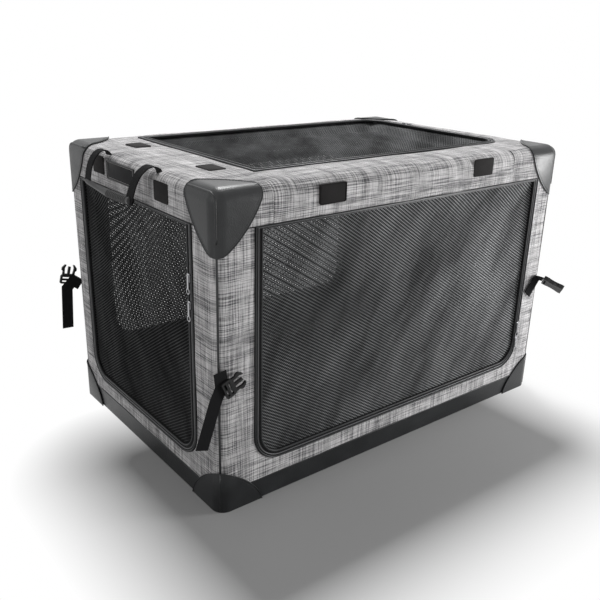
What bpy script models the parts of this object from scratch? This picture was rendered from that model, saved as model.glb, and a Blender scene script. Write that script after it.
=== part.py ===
"""Soft-sided folding pet crate: fabric walls, mesh doors and a steel frame that folds flat.

Metres, +Z up. The origin is at the middle of the footprint, on the floor. The handle end is -X
and the large door is on the -Y side.
"""

import math

import bmesh
import bpy
from mathutils import Matrix, Vector

# Overall size, over the corner caps
LENGTH = 0.910
WIDTH = 0.600
HEIGHT = 0.600

# Clearances
GAP = 0.0003
ZIP_GAP = 0.0006
PIN_GAP = 0.0003
PLAY = 0.0004

# Cover
CAP_WALL = 0.0024
FABRIC = 0.004
SKIRT = 0.0673
BAND_HEIGHT = 0.043
PAN_FLOOR = 0.003
PAN_ROUND = 0.003
EDGE_RADIUS = 0.022
HEADER_RADIUS = 0.026
WELT_RADIUS = 0.0022
CORNER_STEPS = 4
DOOR_STEPS = 6

# Corner caps
TOP_CAP_ALONG = 0.098
TOP_CAP_DOWN = 0.117
LOW_CAP_ALONG = 0.095
LOW_CAP_UP = 0.086
CAP_SHAPE = 1.45
CAP_STEPS = 14

# Front header, and the label and hook patches, set in or down from the cover's faces
HEADER_LEFT_MARGIN = 0.1143
HEADER_RIGHT_MARGIN = 0.1543
PATCH_LENGTH = 0.060
SHORT_PATCH_LENGTH = 0.051
PATCH_WIDTH = 0.036
PATCH_THICK = 0.0012
END_PATCH_FRONT = (0.1738, 0.0333)
END_PATCH_BACK = (0.1628, 0.0253)
REAR_PATCH = (0.1723, 0.0293)
HEADER_PATCH_LEFT = (0.125, 0.0293)
HEADER_PATCH_RIGHT = (0.106, 0.0233)
ROOF_PATCH_X_MARGIN = 0.0978
ROOF_PATCH_MARGINS = (0.1698, 0.1403)
LABEL_LENGTH = 0.117
LABEL_HEIGHT = 0.038
LABEL_Y = 0.036
LABEL_DROP = 0.0283
LABEL_RIM = 0.003

# Doors, flap and window, set in from the cover's faces or up from the floor
LONG_DOOR_LEFT_MARGIN = 0.0763
LONG_DOOR_RIGHT_MARGIN = 0.0623
LONG_DOOR_BOTTOM = 0.076
SHORT_DOOR_FRONT_MARGIN = 0.0723
SHORT_DOOR_BACK_MARGIN = 0.0633
SHORT_DOOR_BOTTOM = 0.073
DOOR_CORNER = 0.060
FLAP_LEFT_MARGIN = 0.1423
FLAP_RIGHT_MARGIN = 0.0623
FLAP_FRONT_MARGIN = 0.0973
FLAP_BACK_MARGIN = 0.0473
FLAP_CORNER = 0.060
WINDOW_LEFT_MARGIN = 0.0823
WINDOW_RIGHT_MARGIN = 0.1223
WINDOW_BOTTOM = 0.125
WINDOW_TOP_MARGIN = 0.0923
WINDOW_CORNER = 0.050
WINDOW_HEM = 0.014
BINDING_WIDTH = 0.016
BINDING_THICK = 0.003
BINDING_PROUD = 0.001
NET_THICK = 0.0015
NET_PITCH = 0.100
NET_STRAND = 0.006
NET_TUCK = 0.002
FLAP_SAG = 0.014
SAG_RUN = 0.060
DOOR_HINGE_OUT = 0.0027
FLAP_HINGE_OUT = 0.0022

# Steel frame
TUBE = 0.008
HOOP_CORNER = 0.025
HOOP_BEND_STEPS = 4
HOOP_SIDE_ROOM = 0.0045
HOOP_TOP_ROOM = 0.0045
FLOOR_ROOM = 0.0005
TUBE_SIDES = 2
PIVOT_INSET = 0.029
PIVOT_RISE = 0.0285
POST_OFFSET = 0.0095
OVER_CENTRE = 0.0023
PIN_RADIUS = 0.003
BORE_LENGTH = 0.040
EAR_RADIUS = 0.008
EAR_THICK = 0.003
TONGUE_THICK = 0.012
BOSS_RADIUS = 0.007
CHEEK_THICK = 0.003
CHEEK_RADIUS = 0.007
TUBE_START = 0.016
SHOE_LENGTH = 0.036
BRIDGE_START = 0.020
RIVET_HEAD = 0.005
RIVET_HEAD_THICK = 0.0013
BLOCK_INSET = 0.033
BLOCK_OUTSET = 0.0103
BLOCK_RISE = 0.0005
SEAT_BACK = 0.003

# Floor
BOARD_THICK = 0.003
BOARD_SIDE_ROOM = 0.002
MAT_SIDE_ROOM = 0.0068
MAT_EDGE = 0.012
MAT_CROWN = 0.021
MAT_DRAW = 0.012
MAT_CHANNELS = 5
MAT_CHANNEL_DEPTH = 0.005
MAT_CHANNEL_CUTS = 4
MAT_ROWS = 10

# Trim that moves
SLIDER_LENGTH = 0.016
SLIDER_WIDTH = 0.009
SLIDER_THICK = 0.0035
PULL_LENGTH = 0.034
PULL_WIDTH = 0.011
PULL_THICK = 0.0014
PULL_NECK = 0.0022
PULL_EYE_WALL = 0.0017
PULL_STEPS = 12
LONG_ZIP_RISES = (0.104, 0.066)
SHORT_ZIP_DROPS = (0.095, 0.145)
ROOF_ZIP_MARGIN = 0.130
STRAP_WIDTH = 0.025
STRAP_THICK = 0.0015
STRAP_STAND = 0.0015
BUCKLE_THICK = 0.010
BUCKLE_WIDTH = 0.034
SOCKET_WALL = 0.0016
SOCKET_REAR = 0.024
HANDLE_SPAN = 0.206
HANDLE_Y = -0.006
GRIP_RADIUS = 0.0095
GRIP_BORE = 0.0055
GRIP_RIBS = 7
GRIP_RIB_PITCH = 0.008
GRIP_RIB_RISE = 0.0012
GRIP_RIB_WIDTH = 0.005
GRIP_COLLAR = 0.006

# Buckle outlines: along from the webbing's bar, and in from half of the buckle's width
PLUG_EDGE = ((-0.010, 0.002), (-0.008, 0), (0.008, 0), (0.011, 0.003), (0.019, 0.003),
             (0.021, 0), (0.027, 0), (0.034, 0.006), (0.034, 0.009), (0.026, 0.006),
             (0.013, 0.0075), (0.013, 0.0145), (0.030, 0.0145))
PLUG_SLOTS = ((-0.0065, -0.0025), (0.0015, 0.0055))
SOCKET_EDGE = ((-0.024, 0.002), (-0.022, 0), (-0.014, 0), (-0.009, 0.002), (0, 0.003),
               (0.009, 0.002), (0.020, -0.001), (0.025, 0))
SOCKET_SLOT = (-0.020, -0.016)
SOCKET_MOUTH = (-0.010, 0.040)
SOCKET_MOUTH_SIDE = 0.0055
SOCKET_WINDOW = (0.001, 0.012)

# Tabs: runs of (across, up) from the cover's upright edge at the knuckles' height
LEFT_FRONT_TAB = ((0.0023, -0.0061), (0.0053, -0.0341), (-0.0067, -0.0581), (-0.0367, -0.1441))
LEFT_FRONT_PLUG = (0.0168, -0.0396)
LEFT_FRONT_PLUG_TURN = 23
LEFT_BACK_TAB = ((0.0063, -0.0281), (-0.0097, -0.0151), (-0.0257, -0.0301), (-0.0317, -0.1261))
LEFT_BACK_PLUG = (-0.0217, -0.0111)
LEFT_BACK_PLUG_TURN = 76
LEFT_TAB_SEWN = {"front": 0.0, "back": 0.030}
RIGHT_TAB_SEWN = -0.0603
RIGHT_TAB = ((-0.0493, -0.0436), (-0.0178, -0.0066))
RIGHT_FOLD_AT = (-0.0188, -0.0076)
RIGHT_SOCKET_AT = (-0.0098, 0.014, -0.0105)
RIGHT_SOCKET_RUN = (0.41, -0.84, -0.37)
RIGHT_SOCKET_LIES = (0.69, 0, 0.72)

# Handle webbing: its run out of the roof's edge and down, from the top of the end face
HANDLE_RUN = ((0.0060, -0.0028), (0.0033, 0.0032), (-0.0032, 0.0072), (-0.0127, 0.0062),
              (-0.0237, -0.0033), (-0.0317, -0.0193), (-0.0362, -0.0393), (-0.0377, -0.0573))

# Faces of the cover that the rest is set out from
SKIN_X = LENGTH / 2 - CAP_WALL - GAP
SKIN_Y = WIDTH / 2 - CAP_WALL - GAP
SKIN_TOP = HEIGHT - CAP_WALL - GAP
INNER_X = SKIN_X - FABRIC
INNER_Y = SKIN_Y - FABRIC
INNER_TOP = SKIN_TOP - FABRIC
SKIRT_Z = SKIN_TOP - SKIRT
WALL_LOW = BAND_HEIGHT + GAP
WALL_TOP = SKIRT_Z - GAP
HOOP_X = INNER_X - TUBE - HOOP_SIDE_ROOM
HOOP_Y = INNER_Y - TUBE - HOOP_SIDE_ROOM
LOW_HOOP_Z = PAN_FLOOR + FLOOR_ROOM + TUBE
TOP_HOOP_Z = INNER_TOP - HOOP_TOP_ROOM - TUBE
PIVOT_X = SKIN_X - PIVOT_INSET
BASE_PIVOT_Z = LOW_HOOP_Z + PIVOT_RISE
TOP_PIVOT_Z = TOP_HOOP_Z - PIVOT_RISE
MID_PIVOT_X = PIVOT_X + OVER_CENTRE
MID_PIVOT_Z = (BASE_PIVOT_Z + TOP_PIVOT_Z) / 2
HEADER_LEFT = HEADER_LEFT_MARGIN - SKIN_X
HEADER_RIGHT = SKIN_X - HEADER_RIGHT_MARGIN
LONG_DOOR_LEFT = LONG_DOOR_LEFT_MARGIN - SKIN_X
LONG_DOOR_RIGHT = SKIN_X - LONG_DOOR_RIGHT_MARGIN
SHORT_DOOR_FRONT = SHORT_DOOR_FRONT_MARGIN - SKIN_Y
SHORT_DOOR_BACK = SKIN_Y - SHORT_DOOR_BACK_MARGIN
FLAP_LEFT = FLAP_LEFT_MARGIN - SKIN_X
FLAP_RIGHT = SKIN_X - FLAP_RIGHT_MARGIN
FLAP_FRONT = FLAP_FRONT_MARGIN - SKIN_Y
FLAP_BACK = SKIN_Y - FLAP_BACK_MARGIN
WINDOW_LEFT = WINDOW_LEFT_MARGIN - SKIN_X
WINDOW_RIGHT = SKIN_X - WINDOW_RIGHT_MARGIN
WINDOW_TOP = SKIN_TOP - WINDOW_TOP_MARGIN
LABEL_Z = SKIN_TOP - LABEL_DROP
END_PATCHES = ((END_PATCH_FRONT[0] - SKIN_Y, SKIN_TOP - END_PATCH_FRONT[1]),
               (SKIN_Y - END_PATCH_BACK[0], SKIN_TOP - END_PATCH_BACK[1]))
REAR_PATCHES = ((REAR_PATCH[0] - SKIN_Y, SKIN_TOP - REAR_PATCH[1]),
                (SKIN_Y - REAR_PATCH[0], SKIN_TOP - REAR_PATCH[1]))
ROOF_PATCHES = ((ROOF_PATCH_X_MARGIN - SKIN_X, ROOF_PATCH_MARGINS[0] - SKIN_Y),
                (ROOF_PATCH_X_MARGIN - SKIN_X, SKIN_Y - ROOF_PATCH_MARGINS[1]))
HEADER_PATCHES = ((HEADER_LEFT + HEADER_PATCH_LEFT[0], SKIN_TOP - HEADER_PATCH_LEFT[1]),
                  (HEADER_RIGHT - HEADER_PATCH_RIGHT[0], SKIN_TOP - HEADER_PATCH_RIGHT[1]))


def clear_scene():
    for thing in list(bpy.data.objects):
        bpy.data.objects.remove(thing)
    for group in list(bpy.data.collections):
        bpy.data.collections.remove(group)


clear_scene()
CRATE = bpy.data.collections.new("pet_travel_crate")
bpy.context.scene.collection.children.link(CRATE)


def material(name, colour, roughness, metallic=0.0):
    made = bpy.data.materials.new(name)
    made.use_nodes = True
    shader = made.node_tree.nodes["Principled BSDF"]
    shader.inputs["Base Color"].default_value = (*colour, 1.0)
    shader.inputs["Roughness"].default_value = roughness
    shader.inputs["Metallic"].default_value = metallic
    made.diffuse_color = (*colour, 1.0)
    return made


LINEN = material("grey_linen", (0.47, 0.46, 0.46), 0.9)
VINYL = material("black_vinyl", (0.022, 0.022, 0.024), 0.42)
NETTING = material("black_netting", (0.02, 0.02, 0.022), 0.7)
BINDING = material("black_binding", (0.018, 0.018, 0.02), 0.8)
WEBBING = material("black_webbing", (0.015, 0.015, 0.016), 0.75)
STEEL = material("coated_steel", (0.09, 0.09, 0.095), 0.4, 0.6)
SILVER = material("silver_metal", (0.72, 0.72, 0.74), 0.28, 1.0)
NYLON = material("black_nylon", (0.02, 0.02, 0.021), 0.38)
GRIP_RUBBER = material("grip_rubber", (0.07, 0.07, 0.072), 0.5)
FLEECE = material("mat_fleece", (0.30, 0.30, 0.31), 0.95)
BOARD = material("floor_board", (0.05, 0.05, 0.05), 0.8)
PATCH = material("bare_patch", (0.035, 0.035, 0.037), 0.6)


def new_piece(name, mesh):
    piece = bpy.data.objects.new(name, mesh)
    CRATE.objects.link(piece)
    return piece


def from_bmesh(name, bm):
    bmesh.ops.recalc_face_normals(bm, faces=bm.faces)
    mesh = bpy.data.meshes.new(name)
    bm.to_mesh(mesh)
    bm.free()
    return new_piece(name, mesh)


def settle(piece):
    """Apply the modifiers, weld the caps of a curve and keep the piece where it lies."""
    bpy.context.view_layer.update()
    graph = bpy.context.evaluated_depsgraph_get()
    mesh = bpy.data.meshes.new_from_object(piece.evaluated_get(graph))
    bm = bmesh.new()
    bm.from_mesh(mesh)
    bmesh.ops.transform(bm, matrix=piece.matrix_world, verts=bm.verts)
    bmesh.ops.remove_doubles(bm, verts=bm.verts, dist=1e-6)
    name = piece.name
    bpy.data.objects.remove(piece)
    return from_bmesh(name, bm)


def flat_outline(name, loops, low, high):
    """A flat shape from its outlines, with holes for the inner ones, standing from low to high."""
    curve = bpy.data.curves.new(name, "CURVE")
    curve.dimensions = "2D"
    curve.fill_mode = "BOTH"
    curve.extrude = (high - low) / 2
    for points in loops:
        spline = curve.splines.new("POLY")
        spline.points.add(len(points) - 1)
        for spot, (u, v) in zip(spline.points, points):
            spot.co = (u, v, 0, 1)
        spline.use_cyclic_u = True
    piece = new_piece(name, curve)
    piece.location.z = (low + high) / 2
    return settle(piece)


def tube(name, points, radius, closed=False):
    curve = bpy.data.curves.new(name, "CURVE")
    curve.dimensions = "3D"
    curve.bevel_depth = radius
    curve.bevel_resolution = TUBE_SIDES
    curve.use_fill_caps = not closed
    spline = curve.splines.new("POLY")
    spline.points.add(len(points) - 1)
    for spot, place in zip(spline.points, points):
        spot.co = (*place, 1)
    spline.use_cyclic_u = closed
    return settle(new_piece(name, curve))


def block(name, low, high, bevel=0.0, steps=1):
    bm = bmesh.new()
    size = [b - a for a, b in zip(low, high)]
    middle = [(a + b) / 2 for a, b in zip(low, high)]
    bmesh.ops.create_cube(bm, size=1, matrix=Matrix.Translation(middle) @ Matrix.Diagonal((*size, 1)))
    if bevel:
        bmesh.ops.bevel(bm, geom=bm.edges[:], offset=bevel, segments=steps, profile=0.5,
                        affect="EDGES")
    return from_bmesh(name, bm)


def rod(name, centre, radius, length, axis="Z", sides=16):
    bm = bmesh.new()
    turn = {"X": Matrix.Rotation(math.pi / 2, 4, "Y"), "Y": Matrix.Rotation(math.pi / 2, 4, "X"),
            "Z": Matrix.Identity(4)}[axis]
    bmesh.ops.create_cone(bm, cap_ends=True, segments=sides, radius1=radius, radius2=radius,
                          depth=length, matrix=Matrix.Translation(centre) @ turn)
    return from_bmesh(name, bm)


def combine(piece, other, operation):
    """Join, cut or intersect two solids, and keep the first one's name."""
    name = piece.name
    step = piece.modifiers.new("combine", "BOOLEAN")
    step.operation = operation
    step.object = other
    made = settle(piece)
    bpy.data.objects.remove(other)
    made.name = name
    return made


def join(piece, *others):
    for other in others:
        piece = combine(piece, other, "UNION")
    return piece


def cut(piece, *others):
    for other in others:
        piece = combine(piece, other, "DIFFERENCE")
    return piece


def turned(piece, matrix):
    piece.matrix_world = matrix
    return settle(piece)


# How a flat outline (u, v, depth) stands up: its u runs along the wall and its v is world Z
STANDING = {"front": Matrix(((1, 0, 0, 0), (0, 0, -1, 0), (0, 1, 0, 0), (0, 0, 0, 1))),
            "end": Matrix(((0, 0, -1, 0), (-1, 0, 0, 0), (0, 1, 0, 0), (0, 0, 0, 1)))}
MIRROR_Y = Matrix.Diagonal((1, -1, 1, 1))


def upright(piece, facing):
    return turned(piece, STANDING[facing])


def finish(piece, name, finish_with, smooth_angle=35):
    piece.name = name
    piece.data.name = name
    piece.data.materials.clear()
    piece.data.materials.append(finish_with)
    piece.data.shade_smooth()
    piece.data.set_sharp_from_angle(angle=math.radians(smooth_angle))
    return piece


def hang_on(empty_name, place, pieces):
    """Parent pieces to an empty that stands on their joint's axis, and leave them in place."""
    empty = bpy.data.objects.new(empty_name, None)
    CRATE.objects.link(empty)
    empty.location = place
    bpy.context.view_layer.update()
    for piece in pieces:
        piece.parent = empty
        piece.matrix_parent_inverse = empty.matrix_world.inverted()
    return empty


def arc(centre, radius, start, end, steps):
    """Points along a circle between two angles in degrees, both ends included."""
    points = []
    for step in range(steps + 1):
        angle = math.radians(start + (end - start) * step / steps)
        points.append((centre[0] + radius * math.cos(angle), centre[1] + radius * math.sin(angle)))
    return points


def rounded_rectangle(left, right, low, high, radii, steps=CORNER_STEPS):
    """A rectangle whose corners, from low right round to low left, have these radii."""
    corners = [(right, low, -1, 1, 270), (right, high, -1, -1, 0),
               (left, high, 1, -1, 90), (left, low, 1, 1, 180)]
    points = []
    for (u, v, du, dv, start), radius in zip(corners, radii):
        if radius <= 0:
            points.append((u, v))
        else:
            points += arc((u + du * radius, v + dv * radius), radius, start, start + 90, steps)
    return points


def door_outline(left, right, low, high, corner, inset=0.0):
    """A door's outline: round at the bottom and square at its hinge edge."""
    radius = corner - inset
    return rounded_rectangle(left + inset, right - inset, low + inset, high - inset,
                             (radius, 0, 0, radius), DOOR_STEPS)


def base_pan():
    """Vinyl tray: a floor and a band up the sides."""
    outline = rounded_rectangle(-SKIN_X, SKIN_X, -SKIN_Y, SKIN_Y, (EDGE_RADIUS,) * 4)
    tray = flat_outline("tray", [outline], 0, BAND_HEIGHT)
    bm = bmesh.new()
    bm.from_mesh(tray.data)
    foot = [e for e in bm.edges if all(v.co.z < GAP for v in e.verts) and len(e.link_faces) == 2
            and e.calc_face_angle() > 1]
    bmesh.ops.bevel(bm, geom=foot, offset=PAN_ROUND, segments=2, profile=0.5, affect="EDGES")
    bm.to_mesh(tray.data)
    bm.free()
    pocket_line = rounded_rectangle(-INNER_X, INNER_X, -INNER_Y, INNER_Y,
                                    (EDGE_RADIUS - FABRIC,) * 4)
    pocket = flat_outline("pocket", [pocket_line], PAN_FLOOR, BAND_HEIGHT * 2)
    return finish(cut(tray, pocket), "base_pan", VINYL)


def floor_board():
    room = TUBE + BOARD_SIDE_ROOM
    radius = HOOP_CORNER - room
    line = rounded_rectangle(room - HOOP_X, HOOP_X - room, room - HOOP_Y, HOOP_Y - room,
                             (radius,) * 4)
    low = PAN_FLOOR + GAP
    return finish(flat_outline("board", [line], low, low + BOARD_THICK), "floor_board", BOARD)


def floor_mat():
    """Quilted mat: crowned, drawn in along its sides and sewn across into channels."""
    low = PAN_FLOOR + GAP + BOARD_THICK + GAP
    half_x, half_y = HOOP_X - TUBE - MAT_SIDE_ROOM, HOOP_Y - TUBE - MAT_SIDE_ROOM
    bm = bmesh.new()
    bmesh.ops.create_grid(bm, x_segments=MAT_CHANNELS * MAT_CHANNEL_CUTS, y_segments=MAT_ROWS,
                          size=1)
    made = bmesh.ops.extrude_face_region(bm, geom=bm.faces[:])
    top = {v for v in made["geom"] if isinstance(v, bmesh.types.BMVert)}
    for vert in bm.verts:
        u, v = vert.co.x, vert.co.y
        vert.co.x = u * (half_x - MAT_DRAW * (1 - v ** 4) * abs(u) ** 5)
        vert.co.y = v * (half_y - MAT_DRAW * (1 - u ** 4) * abs(v) ** 5)
        vert.co.z = low
        if vert in top:
            crown = (1 - abs(u) ** 6) * (1 - abs(v) ** 6)
            seam = math.cos(math.pi * MAT_CHANNELS * (u + 1) / 2) ** 8
            vert.co.z += MAT_EDGE + (MAT_CROWN - MAT_EDGE - MAT_CHANNEL_DEPTH * seam) * crown
    return finish(from_bmesh("mat", bm), "floor_mat", FLEECE, 60)


def shortened(points, trim):
    """The same run of points with its first one moved along by this much."""
    first, second = Vector(points[0]), Vector(points[1])
    return [tuple(first + (second - first).normalized() * trim)] + points[1:]


def wall_plan(corners, trim):
    """Plan of a wall that turns half of the corner at each end: corner centres and angles."""
    sides = []
    for radius in (EDGE_RADIUS, EDGE_RADIUS - FABRIC):
        line = []
        for centre, start, end in corners:
            line += arc(centre, radius, start, end, CORNER_STEPS // 2)
        sides.append(shortened(shortened(line, trim)[::-1], trim)[::-1])
    return sides[0] + sides[1][::-1]


SEAM_TRIM = WELT_RADIUS + GAP * 2
CORNER_X = SKIN_X - EDGE_RADIUS
CORNER_Y = SKIN_Y - EDGE_RADIUS


def long_wall(name, side):
    """Front (side -1) or back (side 1) wall, standing between the two end walls."""
    middle = 90 * side
    corners = [((side * CORNER_X, side * CORNER_Y), middle - 45, middle),
               ((-side * CORNER_X, side * CORNER_Y), middle, middle + 45)]
    return flat_outline(name, [wall_plan(corners, SEAM_TRIM)], WALL_LOW, WALL_TOP)


def end_wall(name, side):
    """Left (side -1) or right (side 1) wall, with the piping of its two corner seams."""
    middle = 90 - 90 * side
    corners = [((side * CORNER_X, -side * CORNER_Y), middle - 45, middle),
               ((side * CORNER_X, side * CORNER_Y), middle, middle + 45)]
    wall = flat_outline(name, [wall_plan(corners, 0)], WALL_LOW, WALL_TOP)
    low = LOW_CAP_UP + WELT_RADIUS
    high = HEIGHT - TOP_CAP_DOWN - WELT_RADIUS
    for (x, y), angle in ((corners[0][0], middle - 45), (corners[1][0], middle + 45)):
        spot = arc((x, y), EDGE_RADIUS, angle, angle, 1)[0]
        welt = rod("welt", (*spot, (low + high) / 2), WELT_RADIUS, high - low, sides=8)
        wall = join(wall, welt)
    return wall


def walls():
    front = cut(long_wall("front", -1),
                upright(flat_outline("opening", [door_outline(
                    LONG_DOOR_LEFT, LONG_DOOR_RIGHT, LONG_DOOR_BOTTOM, HEIGHT, DOOR_CORNER,
                    -ZIP_GAP)], INNER_Y - FABRIC, SKIN_Y + FABRIC), "front"))
    left = cut(end_wall("left", -1),
               upright(flat_outline("opening", [door_outline(
                   -SHORT_DOOR_BACK, -SHORT_DOOR_FRONT, SHORT_DOOR_BOTTOM, HEIGHT, DOOR_CORNER,
                   -ZIP_GAP)], INNER_X - FABRIC, SKIN_X + FABRIC), "end"))
    window = rounded_rectangle(WINDOW_LEFT, WINDOW_RIGHT, WINDOW_BOTTOM, WINDOW_TOP,
                               (WINDOW_CORNER,) * 4, DOOR_STEPS)
    back = cut(long_wall("back", 1),
               upright(flat_outline("opening", [window], -SKIN_Y - FABRIC, FABRIC - INNER_Y),
                       "front"))
    return [finish(front, "front_wall", LINEN), finish(back, "back_wall", LINEN),
            finish(left, "left_wall", LINEN), finish(end_wall("right", 1), "right_wall", LINEN)]


def cap_form(along_x, along_y, along_z, centre):
    """The rounded lobe that trims a corner cap, centred on the corner of the crate."""
    bm = bmesh.new()
    bmesh.ops.create_uvsphere(bm, u_segments=CAP_STEPS * 2, v_segments=CAP_STEPS, radius=1)
    for vert in bm.verts:
        x, y, z = vert.co
        reach = (abs(x / along_x) ** CAP_SHAPE + abs(y / along_y) ** CAP_SHAPE
                 + abs(z / along_z) ** CAP_SHAPE) ** (-1 / CAP_SHAPE)
        vert.co = Vector(centre) + Vector((x, y, z)) * reach
    return from_bmesh("lobe", bm)


def soft_block(name, half_x, half_y, top, low, radius):
    """A block whose upright and upper edges are round."""
    return block(name, (-half_x, -half_y, low), (half_x, half_y, top), radius, CORNER_STEPS)


def corner_caps():
    """Eight moulded caps: each is a thin shell over the cover, trimmed to a lobe."""
    caps = []
    for x_name, x_side in (("left", -1), ("right", 1)):
        for y_name, y_side in (("front", -1), ("back", 1)):
            centre_x, centre_y = x_side * LENGTH / 2, y_side * WIDTH / 2
            shell = soft_block("cap", LENGTH / 2, WIDTH / 2, HEIGHT, HEIGHT / 2,
                               EDGE_RADIUS + CAP_WALL + GAP)
            hollow = soft_block("hollow", SKIN_X + GAP, SKIN_Y + GAP, SKIN_TOP + GAP, HEIGHT / 4,
                                EDGE_RADIUS + GAP)
            lobe = cap_form(TOP_CAP_ALONG, TOP_CAP_ALONG, TOP_CAP_DOWN,
                            (centre_x, centre_y, HEIGHT))
            cap = cut(combine(shell, lobe, "INTERSECT"), hollow)
            caps.append(finish(cap, f"top_cap_{x_name}_{y_name}", VINYL))
            outer = rounded_rectangle(-LENGTH / 2, LENGTH / 2, -WIDTH / 2, WIDTH / 2,
                                      (EDGE_RADIUS + CAP_WALL + GAP,) * 4)
            inner = rounded_rectangle(-SKIN_X - GAP, SKIN_X + GAP, -SKIN_Y - GAP, SKIN_Y + GAP,
                                      (EDGE_RADIUS + GAP,) * 4)
            ring = flat_outline("ring", [outer, inner], GAP, LOW_CAP_UP * 2)
            lobe = cap_form(LOW_CAP_ALONG, LOW_CAP_ALONG, LOW_CAP_UP, (centre_x, centre_y, 0))
            cap = combine(ring, lobe, "INTERSECT")
            caps.append(finish(cap, f"bottom_cap_{x_name}_{y_name}", VINYL))
    return caps


def hoop(name, z, side):
    """A rectangular tube hoop with round bends and a fork, with its pin, near each corner.

    side is 1 where the forks stand up from the hoop and -1 where they hang from it.
    """
    line = rounded_rectangle(-HOOP_X, HOOP_X, -HOOP_Y, HOOP_Y, (HOOP_CORNER,) * 4,
                             HOOP_BEND_STEPS)
    ring = tube(name, [(x, y, z) for x, y in line], TUBE, closed=True)
    pivot_z = z + side * PIVOT_RISE
    for x_side in (-1, 1):
        for y_side in (-1, 1):
            pivot_x = x_side * PIVOT_X
            span = sorted((x_side * (PIVOT_X - BLOCK_INSET + BLOCK_OUTSET),
                           x_side * (PIVOT_X + BLOCK_OUTSET)))
            depth = sorted((y_side * (HOOP_Y - TUBE), y_side * (HOOP_Y + TONGUE_THICK / 2 + PLAY
                                                                + EAR_THICK)))
            rise = sorted((z - side * SEAT_BACK, z + side * (TUBE + BLOCK_RISE)))
            seat = block("seat", (span[0], depth[0], rise[0]), (span[1], depth[1], rise[1]))
            ring = join(ring, seat)
            for ear_side in (-1, 1):
                near = TONGUE_THICK / 2 + PLAY
                middle = y_side * HOOP_Y + ear_side * (near + EAR_THICK / 2)
                tip = rod("tip", (pivot_x, middle, pivot_z), EAR_RADIUS, EAR_THICK, "Y")
                ends = sorted((z, pivot_z))
                leg = block("leg", (pivot_x - EAR_RADIUS, middle - EAR_THICK / 2, ends[0]),
                            (pivot_x + EAR_RADIUS, middle + EAR_THICK / 2, ends[1]))
                ring = join(ring, join(tip, leg))
            pin = rod("pin", (pivot_x, y_side * HOOP_Y, pivot_z), PIN_RADIUS,
                      TONGUE_THICK + 2 * PLAY + EAR_THICK, "Y", 12)
            ring = join(ring, pin)
    return finish(ring, name, STEEL)


def shoe(centre_u, centre_z, low_z, high_z, radius, thick, offset=0.0):
    """A flat end plate of a post: a round eye on the pivot and a tab beside it along the tube."""
    eye = rod("eye", (centre_u, offset, centre_z), radius, thick, "Y")
    tab = block("tab", (centre_u + BOSS_RADIUS / 7, offset - thick / 2, low_z),
                (POST_OFFSET + TUBE, offset + thick / 2, high_z))
    return join(eye, tab)


def post_tube(low, high):
    return rod("post_tube", (POST_OFFSET, 0, (low + high) / 2), TUBE, high - low, "Z", 12)


def lower_post(link):
    """Leg from the base fork to the knuckle, with a fork of its own at the knuckle."""
    post = join(post_tube(TUBE_START, link - BRIDGE_START + TUBE / 4),
                shoe(0, 0, 0, SHOE_LENGTH, BOSS_RADIUS, TONGUE_THICK))
    bridge = block("bridge", (POST_OFFSET - TUBE, -TONGUE_THICK / 2 - PLAY - CHEEK_THICK,
                              link - SHOE_LENGTH),
                   (POST_OFFSET + TUBE, TONGUE_THICK / 2 + PLAY + CHEEK_THICK,
                    link - BRIDGE_START))
    post = join(post, bridge)
    for side in (-1, 1):
        cheek = shoe(-OVER_CENTRE, link, link - SHOE_LENGTH + TUBE / 4, link, CHEEK_RADIUS,
                     CHEEK_THICK, side * (TONGUE_THICK / 2 + PLAY + CHEEK_THICK / 2))
        post = join(post, cheek)
    for u, z in ((0, 0), (-OVER_CENTRE, link)):
        post = cut(post, rod("bore", (u, 0, z), PIN_RADIUS + PIN_GAP, BORE_LENGTH, "Y"))
    return post


def upper_post(link):
    """Leg from the knuckle, on its origin, to the roof fork: a flat tongue at both ends."""
    post = post_tube(TUBE_START, link - TUBE_START)
    post = join(post, shoe(-OVER_CENTRE, 0, 0, SHOE_LENGTH, BOSS_RADIUS, TONGUE_THICK))
    post = join(post, shoe(0, link, link - SHOE_LENGTH, link, BOSS_RADIUS, TONGUE_THICK))
    for u, z in ((-OVER_CENTRE, 0), (0, link)):
        post = cut(post, rod("bore", (u, 0, z), PIN_RADIUS + PIN_GAP, BORE_LENGTH, "Y"))
    return turned(post, Matrix.Translation((OVER_CENTRE, 0, 0)))


def rivet():
    """Knuckle rivet: a shank with a head at each end."""
    reach = TONGUE_THICK / 2 + PLAY + CHEEK_THICK + GAP
    pin = rod("rivet", (0, 0, 0), PIN_RADIUS, 2 * reach + RIVET_HEAD_THICK, "Y", 12)
    for side in (-1, 1):
        head = rod("head", (0, side * (reach + RIVET_HEAD_THICK / 2), 0), RIVET_HEAD,
                   RIVET_HEAD_THICK, "Y", 12)
        pin = join(pin, head)
    return pin


def frame():
    """Two hoops and four jointed legs. The legs at the right are the left ones turned round."""
    link = MID_PIVOT_Z - BASE_PIVOT_Z
    hoop("bottom_hoop", LOW_HOOP_Z, 1)
    hoop("top_hoop", TOP_HOOP_Z, -1)
    patterns = {"lower_post": (lower_post(link), BASE_PIVOT_Z, PIVOT_X),
                "upper_post": (upper_post(link), MID_PIVOT_Z, MID_PIVOT_X),
                "knuckle_pin": (rivet(), MID_PIVOT_Z, MID_PIVOT_X)}
    for kind, (pattern, z, x) in patterns.items():
        finish(pattern, kind, STEEL)
        for x_name, x_side in (("left", -1), ("right", 1)):
            for y_name, y_side in (("front", -1), ("back", 1)):
                leg = new_piece(f"{kind}_{x_name}_{y_name}", pattern.data)
                leg.location = (x_side * x, y_side * HOOP_Y, z)
                leg.rotation_euler.z = 0 if x_side < 0 else math.pi
        bpy.data.objects.remove(pattern)


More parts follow.
